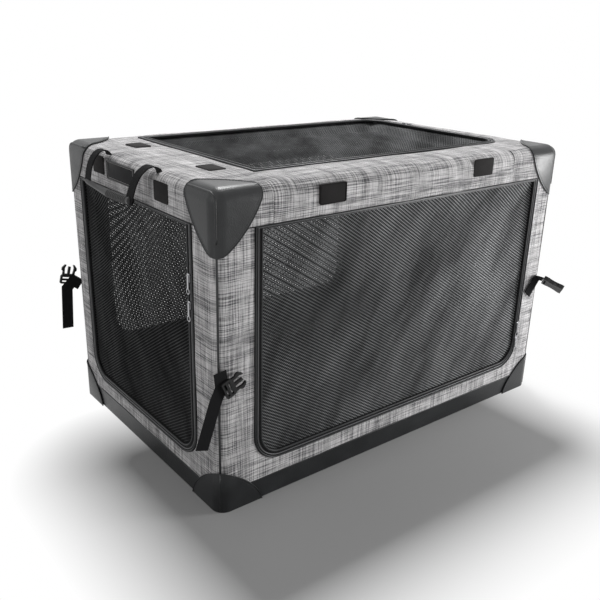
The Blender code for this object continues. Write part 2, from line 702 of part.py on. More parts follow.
def pad(centre, size):
    """A raised block, given by its middle and its size."""
    return block("pad", [c - s / 2 for c, s in zip(centre, size)],
                 [c + s / 2 for c, s in zip(centre, size)])


def roof_cover():
    """The lid of the cover: a shallow shell with a skirt, open at the flap and the header."""
    shell = soft_block("lid", SKIN_X, SKIN_Y, SKIN_TOP, SKIRT_Z - SKIRT, EDGE_RADIUS)
    hollow = soft_block("hollow", INNER_X, INNER_Y, INNER_TOP, SKIRT_Z - SKIRT * 2,
                        EDGE_RADIUS - FABRIC)
    trim = block("trim", (-LENGTH, -WIDTH, 0), (LENGTH, WIDTH, SKIRT_Z))
    lid = cut(shell, hollow, trim)
    flap = flat_outline("flap", [flap_outline(-ZIP_GAP)], INNER_TOP - SKIRT / 2, HEIGHT)
    header = block("header", (HEADER_LEFT - GAP, -WIDTH, 0),
                   (HEADER_RIGHT + GAP, FLAP_FRONT, HEIGHT * 2))
    lid = cut(lid, flap, header)
    depth = PATCH_THICK * 2
    for y, z in END_PATCHES:
        lid = join(lid, pad((-SKIN_X, y, z), (depth, SHORT_PATCH_LENGTH, PATCH_WIDTH)))
    for y, z in REAR_PATCHES:
        lid = join(lid, pad((SKIN_X, y, z), (depth, SHORT_PATCH_LENGTH, PATCH_WIDTH)))
    for x, y in ROOF_PATCHES:
        lid = join(lid, pad((x, y, SKIN_TOP), (PATCH_WIDTH, SHORT_PATCH_LENGTH, depth)))
    return finish(lid, "roof_cover", LINEN)


def flap_outline(inset):
    """The roof flap: straight at its hinge edge on the left and round at the right."""
    radius = FLAP_CORNER - inset
    return rounded_rectangle(FLAP_LEFT + inset, FLAP_RIGHT - inset, FLAP_FRONT + inset,
                             FLAP_BACK - inset, (radius, radius, 0, 0), DOOR_STEPS)


def front_header():
    """Padded strip over the large door: up the front, round the edge and on to the flap."""
    outer, inner = HEADER_RADIUS, HEADER_RADIUS - FABRIC
    centre = (HEADER_RADIUS - SKIN_Y, SKIN_TOP - HEADER_RADIUS)
    edge = FLAP_FRONT - ZIP_GAP
    line = [(-SKIN_Y, SKIRT_Z)] + arc(centre, outer, 180, 90, CORNER_STEPS + 2) + [
        (edge, SKIN_TOP), (edge, INNER_TOP)] + arc(centre, inner, 90, 180, CORNER_STEPS + 2) + [
        (-INNER_Y, SKIRT_Z)]
    strip = flat_outline("strip", [line], HEADER_LEFT, HEADER_RIGHT)
    along_x = Matrix(((0, 0, 1, 0), (1, 0, 0, 0), (0, 1, 0, 0), (0, 0, 0, 1)))
    strip = turned(strip, along_x)
    for x, z in HEADER_PATCHES:
        strip = join(strip, pad((x, -SKIN_Y, z), (PATCH_LENGTH, PATCH_THICK * 2, PATCH_WIDTH)))
    return finish(strip, "front_header", LINEN)


def label_patch():
    """The bare patch at the handle end: a plate with a raised rim and nothing on it."""
    left, right = -LABEL_Y - LABEL_LENGTH / 2, -LABEL_Y + LABEL_LENGTH / 2
    low, high = LABEL_Z - LABEL_HEIGHT / 2, LABEL_Z + LABEL_HEIGHT / 2
    face = SKIN_X + GAP
    rim_line = rounded_rectangle(left, right, low, high, (LABEL_RIM,) * 4, 2)
    field = rounded_rectangle(left + LABEL_RIM, right - LABEL_RIM, low + LABEL_RIM,
                              high - LABEL_RIM, (LABEL_RIM / 2,) * 4, 2)
    plate = flat_outline("plate", [rim_line], face, face + PATCH_THICK)
    plate = cut(plate, flat_outline("field", [field], face + PATCH_THICK / 2,
                                    face + PATCH_THICK * 2))
    return finish(upright(plate, "end"), "label_patch", PATCH)


def inside_corners(u, v, left, right, low, high, radii):
    """Whether a point is inside a rectangle whose corners have these radii."""
    corners = [(right, low, -1, 1), (right, high, -1, -1), (left, high, 1, -1), (left, low, 1, 1)]
    for (cu, cv, du, dv), radius in zip(corners, radii):
        across, along = (cu + du * radius - u) * du, (cv + dv * radius - v) * dv
        if across > 0 and along > 0 and math.hypot(across, along) > radius:
            return False
    return True


def net_gaps(left, right, low, high, radii):
    """Diamond gaps that fill the space inside a hem, with half diamonds along its edges."""
    columns = max(1, round((right - left) / NET_PITCH))
    rows = max(1, round((high - low) / NET_PITCH))
    half_u, half_v = (right - left) / columns / 2, (high - low) / rows / 2
    reach_u, reach_v = half_u - NET_STRAND * 0.7, half_v - NET_STRAND * 0.7
    gaps = []
    for i in range(2 * columns + 1):
        for j in range(2 * rows + 1):
            if (i + j) % 2 == 0:
                continue
            u, v = left + i * half_u, low + j * half_v
            shape = [(u + reach_u, v), (u, v + reach_v), (u - reach_u, v), (u, v - reach_v)]
            shape = [(a, b) for a, b in shape
                     if left - GAP < a < right + GAP and low - GAP < b < high + GAP]
            if all(inside_corners(a, b, left, right, low, high, radii) for a, b in shape):
                gaps.append(shape)
    return gaps


def hang_slack(net, left, right, low, high, depth):
    """Let a net hang from its edges: level beside them and lowest away from them."""
    for vert in net.data.vertices:
        inset = min(vert.co.x - left, right - vert.co.x, vert.co.y - low, high - vert.co.y)
        share = max(0.0, min(1.0, inset / SAG_RUN))
        vert.co.z -= depth * share * share * (3 - 2 * share)


def panel(name, sides, radii, skin, hem, facing, sag=0.0):
    """A net and the bound edge in front of it, in a plane of the cover."""
    left, right, low, high = sides
    outline = rounded_rectangle(left, right, low, high, radii, DOOR_STEPS)
    tuck = NET_TUCK
    back = rounded_rectangle(left + tuck, right - tuck, low + tuck, high - tuck,
                             [max(0, r - tuck) for r in radii], DOOR_STEPS)
    inner = [left + hem, right - hem, low + hem, high - hem]
    inner_radii = [max(0, r - hem) for r in radii]
    net_top = skin + BINDING_PROUD - BINDING_THICK - GAP
    net = flat_outline("net", [back] + net_gaps(*inner, inner_radii), net_top - NET_THICK, net_top)
    hang_slack(net, left, right, low, high, sag)
    window = rounded_rectangle(*inner, inner_radii, DOOR_STEPS)
    binding = flat_outline("edge", [outline, window], net_top + GAP,
                           net_top + GAP + BINDING_THICK)
    if facing:
        net, binding = upright(net, facing), upright(binding, facing)
    return [finish(net, f"{name}_mesh", NETTING), finish(binding, f"{name}_binding", BINDING)]


def doors():
    corner = DOOR_CORNER
    long_door = panel("long_door", (LONG_DOOR_LEFT, LONG_DOOR_RIGHT, LONG_DOOR_BOTTOM, WALL_TOP),
                      (corner, 0, 0, corner), SKIN_Y, BINDING_WIDTH, "front")
    short_door = panel("short_door",
                       (-SHORT_DOOR_BACK, -SHORT_DOOR_FRONT, SHORT_DOOR_BOTTOM, WALL_TOP),
                       (corner, 0, 0, corner), SKIN_X, BINDING_WIDTH, "end")
    flap = panel("roof_flap", (FLAP_LEFT, FLAP_RIGHT, FLAP_FRONT, FLAP_BACK),
                 (FLAP_CORNER, FLAP_CORNER, 0, 0), SKIN_TOP, BINDING_WIDTH, None, FLAP_SAG)
    return (hang_on("long_door", ((LONG_DOOR_LEFT + LONG_DOOR_RIGHT) / 2,
                                  -SKIN_Y - DOOR_HINGE_OUT, SKIRT_Z), long_door),
            hang_on("short_door", (-SKIN_X - DOOR_HINGE_OUT,
                                   (SHORT_DOOR_FRONT + SHORT_DOOR_BACK) / 2, SKIRT_Z), short_door),
            hang_on("roof_flap", (FLAP_LEFT, (FLAP_FRONT + FLAP_BACK) / 2,
                                  SKIN_TOP + FLAP_HINGE_OUT), flap))


def window_mesh():
    hem = WINDOW_HEM
    line = rounded_rectangle(WINDOW_LEFT - hem, WINDOW_RIGHT + hem, WINDOW_BOTTOM - hem,
                             WINDOW_TOP + hem, (WINDOW_CORNER + hem,) * 4, DOOR_STEPS)
    gaps = net_gaps(WINDOW_LEFT, WINDOW_RIGHT, WINDOW_BOTTOM, WINDOW_TOP, (WINDOW_CORNER,) * 4)
    net = flat_outline("net", [line] + gaps, GAP - INNER_Y, GAP - INNER_Y + NET_THICK)
    return finish(upright(net, "front"), "back_window_mesh", NETTING)


def keyhole():
    """Outline of a zip pull: a narrow neck that widens into a round loop."""
    loop = PULL_WIDTH / 2
    eye_z = loop - PULL_LENGTH + SLIDER_WIDTH / 2
    spread = math.degrees(math.asin(PULL_NECK / loop))
    ring = arc((0, eye_z), loop, 90 + spread, 450 - spread, PULL_STEPS)
    outer = [(PULL_NECK, SLIDER_WIDTH / 2), (-PULL_NECK, SLIDER_WIDTH / 2)] + ring
    return outer, arc((0, eye_z), loop - PULL_EYE_WALL, 0, 360, PULL_STEPS)[1:]


def zip_slider(name, u, v, skin, facing, panel_empty):
    """A slider on the zip tape and the pull that hangs from it, at (u, v) on a face."""
    low = skin + BINDING_PROUD + GAP
    high = low + SLIDER_THICK
    half_u, half_v = SLIDER_WIDTH / 2, SLIDER_LENGTH / 2
    body_line = rounded_rectangle(u - half_u, u + half_u, v - half_v, v + half_v,
                                  (SLIDER_WIDTH / 4,) * 4, 2)
    body = flat_outline("body", [body_line], low, high)
    outer, eye = keyhole()
    loops = [[(u + a, v + b) for a, b in line] for line in (outer, eye)]
    pull = flat_outline("pull", loops, high + GAP, high + GAP + PULL_THICK)
    swing = Vector((u, v + SLIDER_WIDTH / 2, high + GAP + PULL_THICK / 2))
    if facing:
        body, pull = upright(body, facing), upright(pull, facing)
        swing = STANDING[facing] @ swing
    run = hang_on(f"{name}_zip", swing, [finish(body, f"{name}_slider", SILVER)])
    run.parent = panel_empty
    run.matrix_parent_inverse = panel_empty.matrix_world.inverted()
    eye = hang_on(f"{name}_pull_eye", swing, [finish(pull, f"{name}_pull", SILVER)])
    eye.parent = run
    eye.matrix_parent_inverse = run.matrix_world.inverted()


def ribbon(path, width):
    """Outline of a flat band along a path, with mitred bends."""
    left, right = [], []
    for index, spot in enumerate(path):
        here = Vector(spot)
        before = (here - Vector(path[index - 1])).normalized() if index else None
        after = ((Vector(path[index + 1]) - here).normalized() if index + 1 < len(path) else None)
        run = ((before or after) + (after or before)).normalized()
        across = Vector((-run.y, run.x))
        reach = width / 2 / max(0.5, run.dot(before or after))
        left.append(tuple(here + across * reach))
        right.append(tuple(here - across * reach))
    return left + right[::-1]


def mirrored_line(half):
    """A closed outline from its upper half, which runs from the rear to the front."""
    return half + [(s, -t) for s, t in half[::-1]]


def male_buckle(thick):
    """Plug half of a side-release buckle: a slotted base, two sprung arms and a guide."""
    half = BUCKLE_WIDTH / 2
    line = mirrored_line([(along, half - inward) for along, inward in PLUG_EDGE])
    slot = STRAP_WIDTH / 2 + GAP
    slots = [rounded_rectangle(a, b, -slot, slot, (0, 0, 0, 0)) for a, b in PLUG_SLOTS]
    return flat_outline("male", [line] + slots, -thick / 2, thick / 2)


def female_buckle():
    """Socket half: waisted shell, a bar for the webbing, a mouth and two side windows."""
    half = BUCKLE_WIDTH / 2
    line = mirrored_line([(along, half - inward) for along, inward in SOCKET_EDGE])
    slot = STRAP_WIDTH / 2 + GAP
    bar_slot = rounded_rectangle(*SOCKET_SLOT, -slot, slot, (0, 0, 0, 0))
    shell = flat_outline("female", [line, bar_slot], -BUCKLE_THICK / 2, BUCKLE_THICK / 2)
    room = BUCKLE_THICK / 2 - SOCKET_WALL
    side = half - SOCKET_MOUTH_SIDE
    mouth = block("mouth", (SOCKET_MOUTH[0], -side, -room), (SOCKET_MOUTH[1], side, room))
    windows = block("windows", (SOCKET_WINDOW[0], -half * 2, -room),
                    (SOCKET_WINDOW[1], half * 2, room))
    return cut(shell, mouth, windows)


def from_edge(run, side):
    """Points given from an upright edge at the knuckles' height, as places on the wall."""
    return [(side * SKIN_X + across, MID_PIVOT_Z + up) for across, up in run]


def sewn_tab(name, run, side, low):
    web = flat_outline(name, [ribbon(from_edge(run, side), STRAP_WIDTH)], low, low + STRAP_THICK)
    return upright(web, "front")


def left_tabs(low):
    """The two tabs at the handle end, each with the plug half of a buckle lying on it."""
    plug_thick = BUCKLE_THICK / 2
    seat = low + STRAP_THICK + GAP + plug_thick / 2
    shapes = {"front": (LEFT_FRONT_TAB, LEFT_FRONT_PLUG, LEFT_FRONT_PLUG_TURN),
              "back": (LEFT_BACK_TAB, LEFT_BACK_PLUG, LEFT_BACK_PLUG_TURN)}
    for place, (run, spot, turn) in shapes.items():
        web = sewn_tab("web", run, -1, low)
        plug = turned(male_buckle(plug_thick), Matrix.Translation((*from_edge([spot], -1)[0], seat))
                      @ Matrix.Rotation(math.radians(turn), 4, "Z"))
        plug = upright(plug, "front")
        if place == "back":
            web, plug = turned(web, MIRROR_Y), turned(plug, MIRROR_Y)
        hang_on(f"left_{place}_tab", (-SKIN_X, -low if place == "front" else low,
                                      MID_PIVOT_Z + LEFT_TAB_SEWN[place]),
                [finish(web, f"left_{place}_strap", WEBBING),
                 finish(plug, f"left_{place}_buckle", NYLON)])


def right_tabs(low):
    """The two tabs at the far end: each folds out over the edge and carries a socket half."""
    along = Vector(RIGHT_SOCKET_RUN).normalized()
    across = along.cross(Vector(RIGHT_SOCKET_LIES)).normalized()
    face = along.cross(across)
    x, out, z = RIGHT_SOCKET_AT
    rear = Vector((SKIN_X + x, -WIDTH / 2 - out, MID_PIVOT_Z + z))
    fold_x, fold_z = from_edge([RIGHT_FOLD_AT], 1)[0]
    start = Vector((fold_x, -low, fold_z)) - along * STRAP_THICK
    lean = rear - along * GAP * 2 - start
    for place in ("front", "back"):
        web = sewn_tab("web", RIGHT_TAB, 1, low)
        fold = block("fold", (0, -STRAP_WIDTH / 2, -STRAP_THICK / 2),
                     (lean.length, STRAP_WIDTH / 2, STRAP_THICK / 2))
        run = lean.normalized()
        side = face.cross(run).normalized()
        fold = turned(fold, Matrix.Translation(start)
                      @ Matrix((run, side, run.cross(side))).transposed().to_4x4())
        wall_side = block("wall_side", (0, -low, 0), (LENGTH, WIDTH, HEIGHT))
        web = join(web, cut(fold, wall_side))
        socket = turned(female_buckle(), Matrix.Translation(rear + along * SOCKET_REAR)
                        @ Matrix((along, across, face)).transposed().to_4x4())
        if place == "back":
            web, socket = turned(web, MIRROR_Y), turned(socket, MIRROR_Y)
        hang_on(f"right_{place}_tab", (SKIN_X + RIGHT_TAB_SEWN,
                                       -low if place == "front" else low, MID_PIVOT_Z),
                [finish(web, f"right_{place}_strap", WEBBING),
                 finish(socket, f"right_{place}_buckle", NYLON)])


def handle():
    """Carry handle: webbing legs that arch out from the roof's edge, and a ribbed grip."""
    spine = [(across - SKIN_X, SKIN_TOP + up) for across, up in HANDLE_RUN]
    along_y = Matrix(((1, 0, 0, 0), (0, 0, -1, 0), (0, 1, 0, 0), (0, 0, 0, 1)))
    grip_spot = (spine[-1][0], HANDLE_Y, spine[-1][1] + STRAP_THICK)
    core = rod("core", grip_spot, GRIP_BORE - PLAY, HANDLE_SPAN, "Y", 12)
    for side in (-1, 1):
        middle = -(HANDLE_Y + side * HANDLE_SPAN / 2)
        leg = flat_outline("leg", [ribbon(spine, STRAP_THICK)], middle - STRAP_WIDTH / 2,
                           middle + STRAP_WIDTH / 2)
        core = join(core, turned(leg, along_y))
    half = (HANDLE_SPAN - STRAP_WIDTH) / 2 - GAP * 2
    profile = [(GRIP_BORE, half), (GRIP_RADIUS, half)]
    foot, crest, top = GRIP_RIB_WIDTH / 2, GRIP_RIB_WIDTH / 4, GRIP_RADIUS + GRIP_RIB_RISE
    for rib in range(GRIP_RIBS):
        middle = half - GRIP_COLLAR - rib * GRIP_RIB_PITCH
        profile += [(GRIP_RADIUS, middle + foot), (top, middle + crest),
                    (top, middle - crest), (GRIP_RADIUS, middle - foot)]
    profile += [(GRIP_RADIUS, -half), (GRIP_BORE, -half)]
    hang_on("handle", (spine[0][0], HANDLE_Y, spine[0][1]),
            [finish(core, "handle_webbing", WEBBING),
             finish(turned_profile("grip", profile, grip_spot), "handle_grip", GRIP_RUBBER)])


def turned_profile(name, profile, place, sides=12):
    """A closed profile of (radius, height) spun round, then laid along Y at a place."""
    bm = bmesh.new()
    verts = [bm.verts.new((radius, 0, height)) for radius, height in profile]
    for first, second in zip(verts, verts[1:] + verts[:1]):
        bm.edges.new((first, second))
    mesh = bpy.data.meshes.new(name)
    bm.to_mesh(mesh)
    bm.free()
    piece = new_piece(name, mesh)
    screw = piece.modifiers.new("spin", "SCREW")
    screw.steps = screw.render_steps = sides
    screw.use_merge_vertices = True
    screw.merge_threshold = 1e-6
    piece.matrix_world = Matrix.Translation(place) @ Matrix.Rotation(math.pi / 2, 4, "X")
    return settle(piece)


def sliders(long_door, short_door, flap):
    """Five zip sliders with their pulls, two a door and one on the flap, hung on their panels."""
    edge = BINDING_WIDTH / 2
    names = ("upper", "lower")
    for name, rise in zip(names, LONG_ZIP_RISES):
        zip_slider(f"long_door_{name}", LONG_DOOR_RIGHT - edge, LONG_DOOR_BOTTOM + rise, SKIN_Y,
                   "front", long_door)
    for name, drop in zip(names, SHORT_ZIP_DROPS):
        zip_slider(f"short_door_{name}", -SHORT_DOOR_FRONT - edge, SKIRT_Z - drop, SKIN_X,
                   "end", short_door)
    zip_slider("roof_flap", FLAP_RIGHT - edge, FLAP_BACK - ROOF_ZIP_MARGIN, SKIN_TOP, None, flap)


base_pan()
floor_board()
floor_mat()
walls()
corner_caps()
frame()
roof_cover()
front_header()
label_patch()
sliders(*doors())
window_mesh()
left_tabs(WIDTH / 2 + STRAP_STAND)
right_tabs(WIDTH / 2 + STRAP_STAND)
handle()
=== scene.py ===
"""Dresses the folding pet crate in cloth, net, vinyl and trim.

Every cloth piece is cut as a flat pattern, divided into small cells, wrapped round the crate
and given its thickness. Metres, +Z up. The long door faces -Y and the short door -X.
"""

import math

import bpy
from mathutils import Matrix, Vector, noise


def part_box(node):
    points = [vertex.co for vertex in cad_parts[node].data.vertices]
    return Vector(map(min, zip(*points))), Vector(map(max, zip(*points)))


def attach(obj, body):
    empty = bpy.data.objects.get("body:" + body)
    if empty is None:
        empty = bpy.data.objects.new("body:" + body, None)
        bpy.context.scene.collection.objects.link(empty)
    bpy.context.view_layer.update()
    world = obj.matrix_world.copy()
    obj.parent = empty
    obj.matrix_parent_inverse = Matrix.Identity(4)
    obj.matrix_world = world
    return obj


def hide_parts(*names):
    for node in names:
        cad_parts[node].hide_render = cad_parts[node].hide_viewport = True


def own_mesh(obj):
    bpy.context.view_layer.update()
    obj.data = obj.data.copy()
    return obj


bl_info = {
    "name": "Pet travel crate",
    "version": (1, 0, 0),
    "blender": (4, 5, 0),
    "location": "3D View > Sidebar > Crate",
    "description": "Builds a soft-sided folding pet crate with procedural materials",
    "category": "Add Mesh",
}

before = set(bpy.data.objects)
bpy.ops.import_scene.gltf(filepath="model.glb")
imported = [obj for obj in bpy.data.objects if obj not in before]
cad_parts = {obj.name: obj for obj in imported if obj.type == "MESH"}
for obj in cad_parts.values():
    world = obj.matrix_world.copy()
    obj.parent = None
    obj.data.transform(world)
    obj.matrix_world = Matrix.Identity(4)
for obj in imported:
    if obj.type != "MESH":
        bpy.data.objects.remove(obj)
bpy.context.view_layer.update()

# Gaps and thicknesses
CLOTH = 0.004
CAP_OUT = 0.0027
ZIP_GAP = 0.0006
GAP = 0.0003


def sides(node, axes):
    """A node's extent along two axes: low and high of the first, then of the second."""
    low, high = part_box(node)
    first, second = ("xyz".index(axis) for axis in axes)
    return low[first], high[first], low[second], high[second]


def inset(extent, by):
    left, right, low, high = extent
    return left + by, right - by, low + by, high - by


# Faces of the cover and its openings, from the frame
SKIN_X, SKIN_Y, BAND_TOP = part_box("base_pan")[1]
SKIN_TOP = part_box("top_cap_left_front")[1].z - CAP_OUT
SKIRT_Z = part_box("front_header")[0].z
FLAP = sides("roof_flap_binding", "xy")
LONG_DOOR = sides("long_door_binding", "xz")
SHORT_DOOR = sides("short_door_binding", "yz")
WINDOW = sides("back_window_mesh", "xz")

# Rounded edges of the cover, and corners of its openings
EDGE = 0.022
ARC = EDGE * math.pi / 2
CORNER_X = SKIN_X - EDGE
CORNER_Y = SKIN_Y - EDGE
DOOR_ROUND = 0.060
WINDOW_HEM = 0.014
WINDOW_ROUND = 0.050
ROUND_STEPS = 14

# Corner caps: the block that they are cut from, how far they reach and how they bulge
CAP_FAR = Vector((SKIN_X + CAP_OUT, SKIN_Y + CAP_OUT, SKIN_TOP + CAP_OUT))
CAP_EDGE = EDGE + CAP_OUT
CAP_REACH = {"top": (0.098, 0.098, 0.117), "bottom": (0.095, 0.095, 0.086)}
CAP_BULGE = 1.45

# The crate's four corners: the name of each, and the sides of x and y that it lies on
CORNERS = [(f"{x_name}_{y_name}", x_side, y_side)
           for x_name, x_side in (("left", -1), ("right", 1))
           for y_name, y_side in (("front", -1), ("back", 1))]

# Height that soft pieces fold towards, and the share of their height that is left; here they only
# mark a piece as soft, which gets a mesh of its own
BASE_SOFT = (BAND_TOP, 0.04)
ROOF_SOFT = (SKIRT_Z, 0.04)
CAP_SOFT = {"top": (0.6, 0.6), "bottom": (0.0, 0.6)}

# Edit-mode steps: merge doubled corners and face outwards, or turn a pattern over
MERGE = ((bpy.ops.mesh.remove_doubles, {"threshold": 1e-6}),
         (bpy.ops.mesh.normals_make_consistent, {"inside": False}))
FLIP = (bpy.ops.mesh.flip_normals, {})

FINISHES = {}


def length(name, text, value):
    return bpy.props.FloatProperty(name=name, description=text, default=value, unit="LENGTH")


def colour(name, text, value):
    return bpy.props.FloatVectorProperty(name=name, description=text, default=value,
                                         subtype="COLOR")


class CrateSizes(bpy.types.PropertyGroup):
    cell: length("Cloth cell", "Size of the cells that the cloth is divided into", 0.011)
    puff: length("Puff", "How far the padded cloth ripples", 0.0013)
    net_cell: length("Net cell", "Size of the cells that a net is divided into", 0.012)
    net_pitch: length("Net pitch", "Distance between the threads of a net", 0.0055)
    stitch: length("Stitch", "Length of one stitch", 0.0034)
    piping: length("Piping", "Radius of the piping cord", 0.0021)


class CrateColours(bpy.types.PropertyGroup):
    linen: colour("Linen", "Pale threads of the cover", (0.80, 0.785, 0.79))
    slub: colour("Slub", "Dark threads of the cover", (0.075, 0.075, 0.080))
    vinyl: colour("Vinyl", "Corner caps and base", (0.014, 0.015, 0.016))
    trim: colour("Trim", "Binding and webbing", (0.006, 0.006, 0.0065))
    # The net colour is the painted highlight on the crests of the threads, which are near black
    # elsewhere
    net: colour("Net", "Threads of the nets", (0.56, 0.57, 0.58))
    mat: colour("Mat", "Fleece of the floor mat", (0.035, 0.035, 0.038))


def active():
    return bpy.context.view_layer.objects.active


def only(piece):
    """Select this piece and no other."""
    bpy.ops.object.select_all(action="DESELECT")
    piece.select_set(True)
    bpy.context.view_layer.objects.active = piece


def edit(*jobs):
    """Run edit-mode operators with their settings, each on the whole of the active piece."""
    bpy.ops.object.mode_set(mode="EDIT")
    for operator, settings in jobs:
        bpy.ops.mesh.select_all(action="SELECT")
        operator(**settings)
    bpy.ops.object.mode_set(mode="OBJECT")


def apply(piece, step):
    only(piece)
    bpy.ops.object.modifier_apply(modifier=step.name)


def modify(piece, kind, **settings):
    """Add a modifier to a piece and apply it."""
    step = piece.modifiers.new(kind.lower(), kind)
    for key, value in settings.items():
        setattr(step, key, value)
    apply(piece, step)


def add(name, data):
    piece = bpy.data.objects.new(name, data)
    bpy.context.scene.collection.objects.link(piece)
    return piece


def rename(piece, name):
    piece.name = piece.data.name = name
    return piece


def paint(piece, *finishes):
    """Give a piece its materials, by the names of their finishes."""
    piece.data.materials.clear()
    for finish in finishes:
        piece.data.materials.append(FINISHES[finish])


def smooth(piece, angle=None):
    """Shade a piece smooth, but for the edges that turn by more than this angle."""
    only(piece)
    if angle is None:
        bpy.ops.object.shade_smooth()
    else:
        bpy.ops.object.shade_smooth_by_angle(angle=math.radians(angle))
    return piece


def block(name, size, place=(0, 0, 0)):
    bpy.ops.mesh.primitive_cube_add(size=1)
    piece = rename(active(), name)
    piece.scale = size
    piece.location = place
    bpy.ops.object.transform_apply(location=True, rotation=False, scale=True)
    return piece


def from_curve(name, lines, closed, radii=None, **settings):
    """A mesh converted from a curve through these lines of points."""
    curve = bpy.data.curves.new(name, "CURVE")
    for key, value in settings.items():
        setattr(curve, key, value)
    for line in lines:
        spline = curve.splines.new("POLY")
        spline.points.add(len(line) - 1)
        for index, place in enumerate(line):
            spline.points[index].co = (*place, 1)
            if radii:
                spline.points[index].radius = radii[index]
        spline.use_cyclic_u = closed
    only(add(name, curve))
    bpy.ops.object.convert(target="MESH")
    return rename(active(), name)


def hang(piece, body, slot, *nodes, soft=None):
    """Hang a piece on its body and hide the nodes it stands for; a soft piece gets a mesh of its
    own. Its slot is not used.
    """
    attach(piece, body)
    if nodes:
        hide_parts(*nodes)
    if soft:
        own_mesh(piece)


def arc_points(centre, radius, start, end):
    turns = [math.radians(start + (end - start) * i / ROUND_STEPS)
             for i in range(ROUND_STEPS + 1)]
    return [(centre[0] + radius * math.cos(t), centre[1] + radius * math.sin(t)) for t in turns]


def rounded(left, right, low, high, radii):
    """A rectangle's outline, whose corners from low right round to low left have these radii."""
    spots = ((right, low, -1, 1, 270), (right, high, -1, -1, 0),
             (left, high, 1, -1, 90), (left, low, 1, 1, 180))
    line = []
    for (u, v, du, dv, start), radius in zip(spots, radii):
        if radius <= 0:
            line.append((u, v))
        else:
            line += arc_points((u + du * radius, v + dv * radius), radius, start, start + 90)
    return line


def pattern(name, loops):
    """A flat pattern piece from its outlines, as a mesh in the plane z = 0 that faces up."""
    piece = from_curve(name, [[(u, v, 0) for u, v in line] for line in loops], True,
                       dimensions="2D", fill_mode="BOTH")
    edit(*MERGE)
    if piece.data.polygons[0].normal.z < 0:
        edit(FLIP)
    return piece


def cut_cells(piece, marks_u, marks_v, turned=False):
    """Divide a flat pattern along these lines, so that it can bend, and turn it over if asked."""
    only(piece)
    edit(*((bpy.ops.mesh.bisect, {"plane_co": Vector(across) * place, "plane_no": across})
           for places, across in ((marks_u, (1, 0, 0)), (marks_v, (0, 1, 0)))
           for place in places), *([FLIP] if turned else []))
    return piece


def marks(low, high, step):
    """Places that divide a run into even cells of about this size, without its ends."""
    count = max(1, round((high - low) / step))
    return [low + (high - low) * i / count for i in range(1, count)]


def bend_marks(corner, arc, steps=7):
    """Lines across the arc at both ends of a run, where the cloth turns round an edge."""
    found = [corner + arc * i / steps for i in range(steps + 1)]
    return [-m for m in found] + found


def lay_uv(piece):
    """Keep the flat pattern's own coordinates, in metres, as its UV map."""
    while piece.data.uv_layers:
        piece.data.uv_layers.remove(piece.data.uv_layers[0])
    layer = piece.data.uv_layers.new(name="cloth")
    for loop in piece.data.loops:
        layer.data[loop.index].uv = piece.data.vertices[loop.vertex_index].co.xy


def ripple(spot, amount, span=0.11):
    """How far padded cloth stands in or out at a place: a slow swell with a finer crumple."""
    slow = noise.noise(Vector(spot) / span)
    fine = noise.noise(Vector(spot) / (span * 0.3) + Vector((7.1, 3.3, 1.7)))
    return amount * (slow + 0.3 * fine)


def wrap(piece, place, thick, outer, inner, amount=0.0):
    """Bend a flat pattern on to the crate, ripple it and give it its thickness."""
    lay_uv(piece)
    for vert in piece.data.vertices:
        spot, out = place(vert.co.x, vert.co.y)
        vert.co = spot + out * ripple(spot, amount)
    paint(piece, outer, inner)
    modify(piece, "SOLIDIFY", thickness=thick, offset=-1, material_offset=1)
    return smooth(piece, 50)


def wall_place(long, side, depth=0.0):
    """Where a long wall's or an end wall's pattern lies, round the corners at both its ends."""
    corner, face = (CORNER_X, CORNER_Y) if long else (CORNER_Y, CORNER_X)

    def place(u, v):
        turn = min(math.pi / 2, max(0.0, (abs(u) - corner) / EDGE))
        run, away = math.copysign(math.sin(turn), u), side * math.cos(turn)
        u = math.copysign(min(abs(u), corner), u)
        spot = Vector((u, side * face, v) if long else (side * face, u, v))
        out = Vector((run, away, 0) if long else (away, run, 0))
        return spot + out * (EDGE - depth), out
    return place


def roof_place(depth):
    """Where a pattern lies that is flat on the roof."""
    return lambda u, v: (Vector((u, v, SKIN_TOP - depth)), Vector((0, 0, 1)))


def lid_place(edge=EDGE):
    """Where the lid's pattern lies: flat on the roof, then round each edge and down the skirt."""
    def fold(t, half):
        run = abs(t) - half
        if run <= 0:
            return t, 0.0, 0.0
        turn = min(run / edge, math.pi / 2)
        drop = edge * (1 - math.cos(turn)) + max(0.0, run - edge * math.pi / 2)
        return math.copysign(half + edge * math.sin(turn), t), drop, math.copysign(turn, t)

    def place(u, v):
        x, drop_x, turn_x = fold(u, SKIN_X - edge)
        y, drop_y, turn_y = fold(v, SKIN_Y - edge)
        out = Vector((math.sin(turn_x), math.sin(turn_y), math.cos(turn_x) * math.cos(turn_y)))
        return Vector((x, y, SKIN_TOP - max(drop_x, drop_y))), out.normalized()
    return place


def sew(name, line, radius, finish, body, slot, soft=None, closed=False):
    """Hang a cord or seam bead along a line of points."""
    piece = from_curve(name, [line], closed, dimensions="3D", bevel_depth=radius,
                       bevel_resolution=3, use_fill_caps=not closed)
    edit(*MERGE)
    paint(piece, finish)
    smooth(piece)
    hang(piece, body, slot, soft=soft)


def along(line, step, closed=False):
    """Places at equal steps along a line of points, each with its direction."""
    spots = [Vector(p) for p in line] + ([Vector(line[0])] if closed else [])
    found, left = [], step / 2
    for first, second in zip(spots, spots[1:]):
        run = second - first
        reach = run.length
        while reach > 0 and left <= reach:
            found.append((first + run * (left / reach), run.normalized()))
            left += step
        left -= reach
    return found


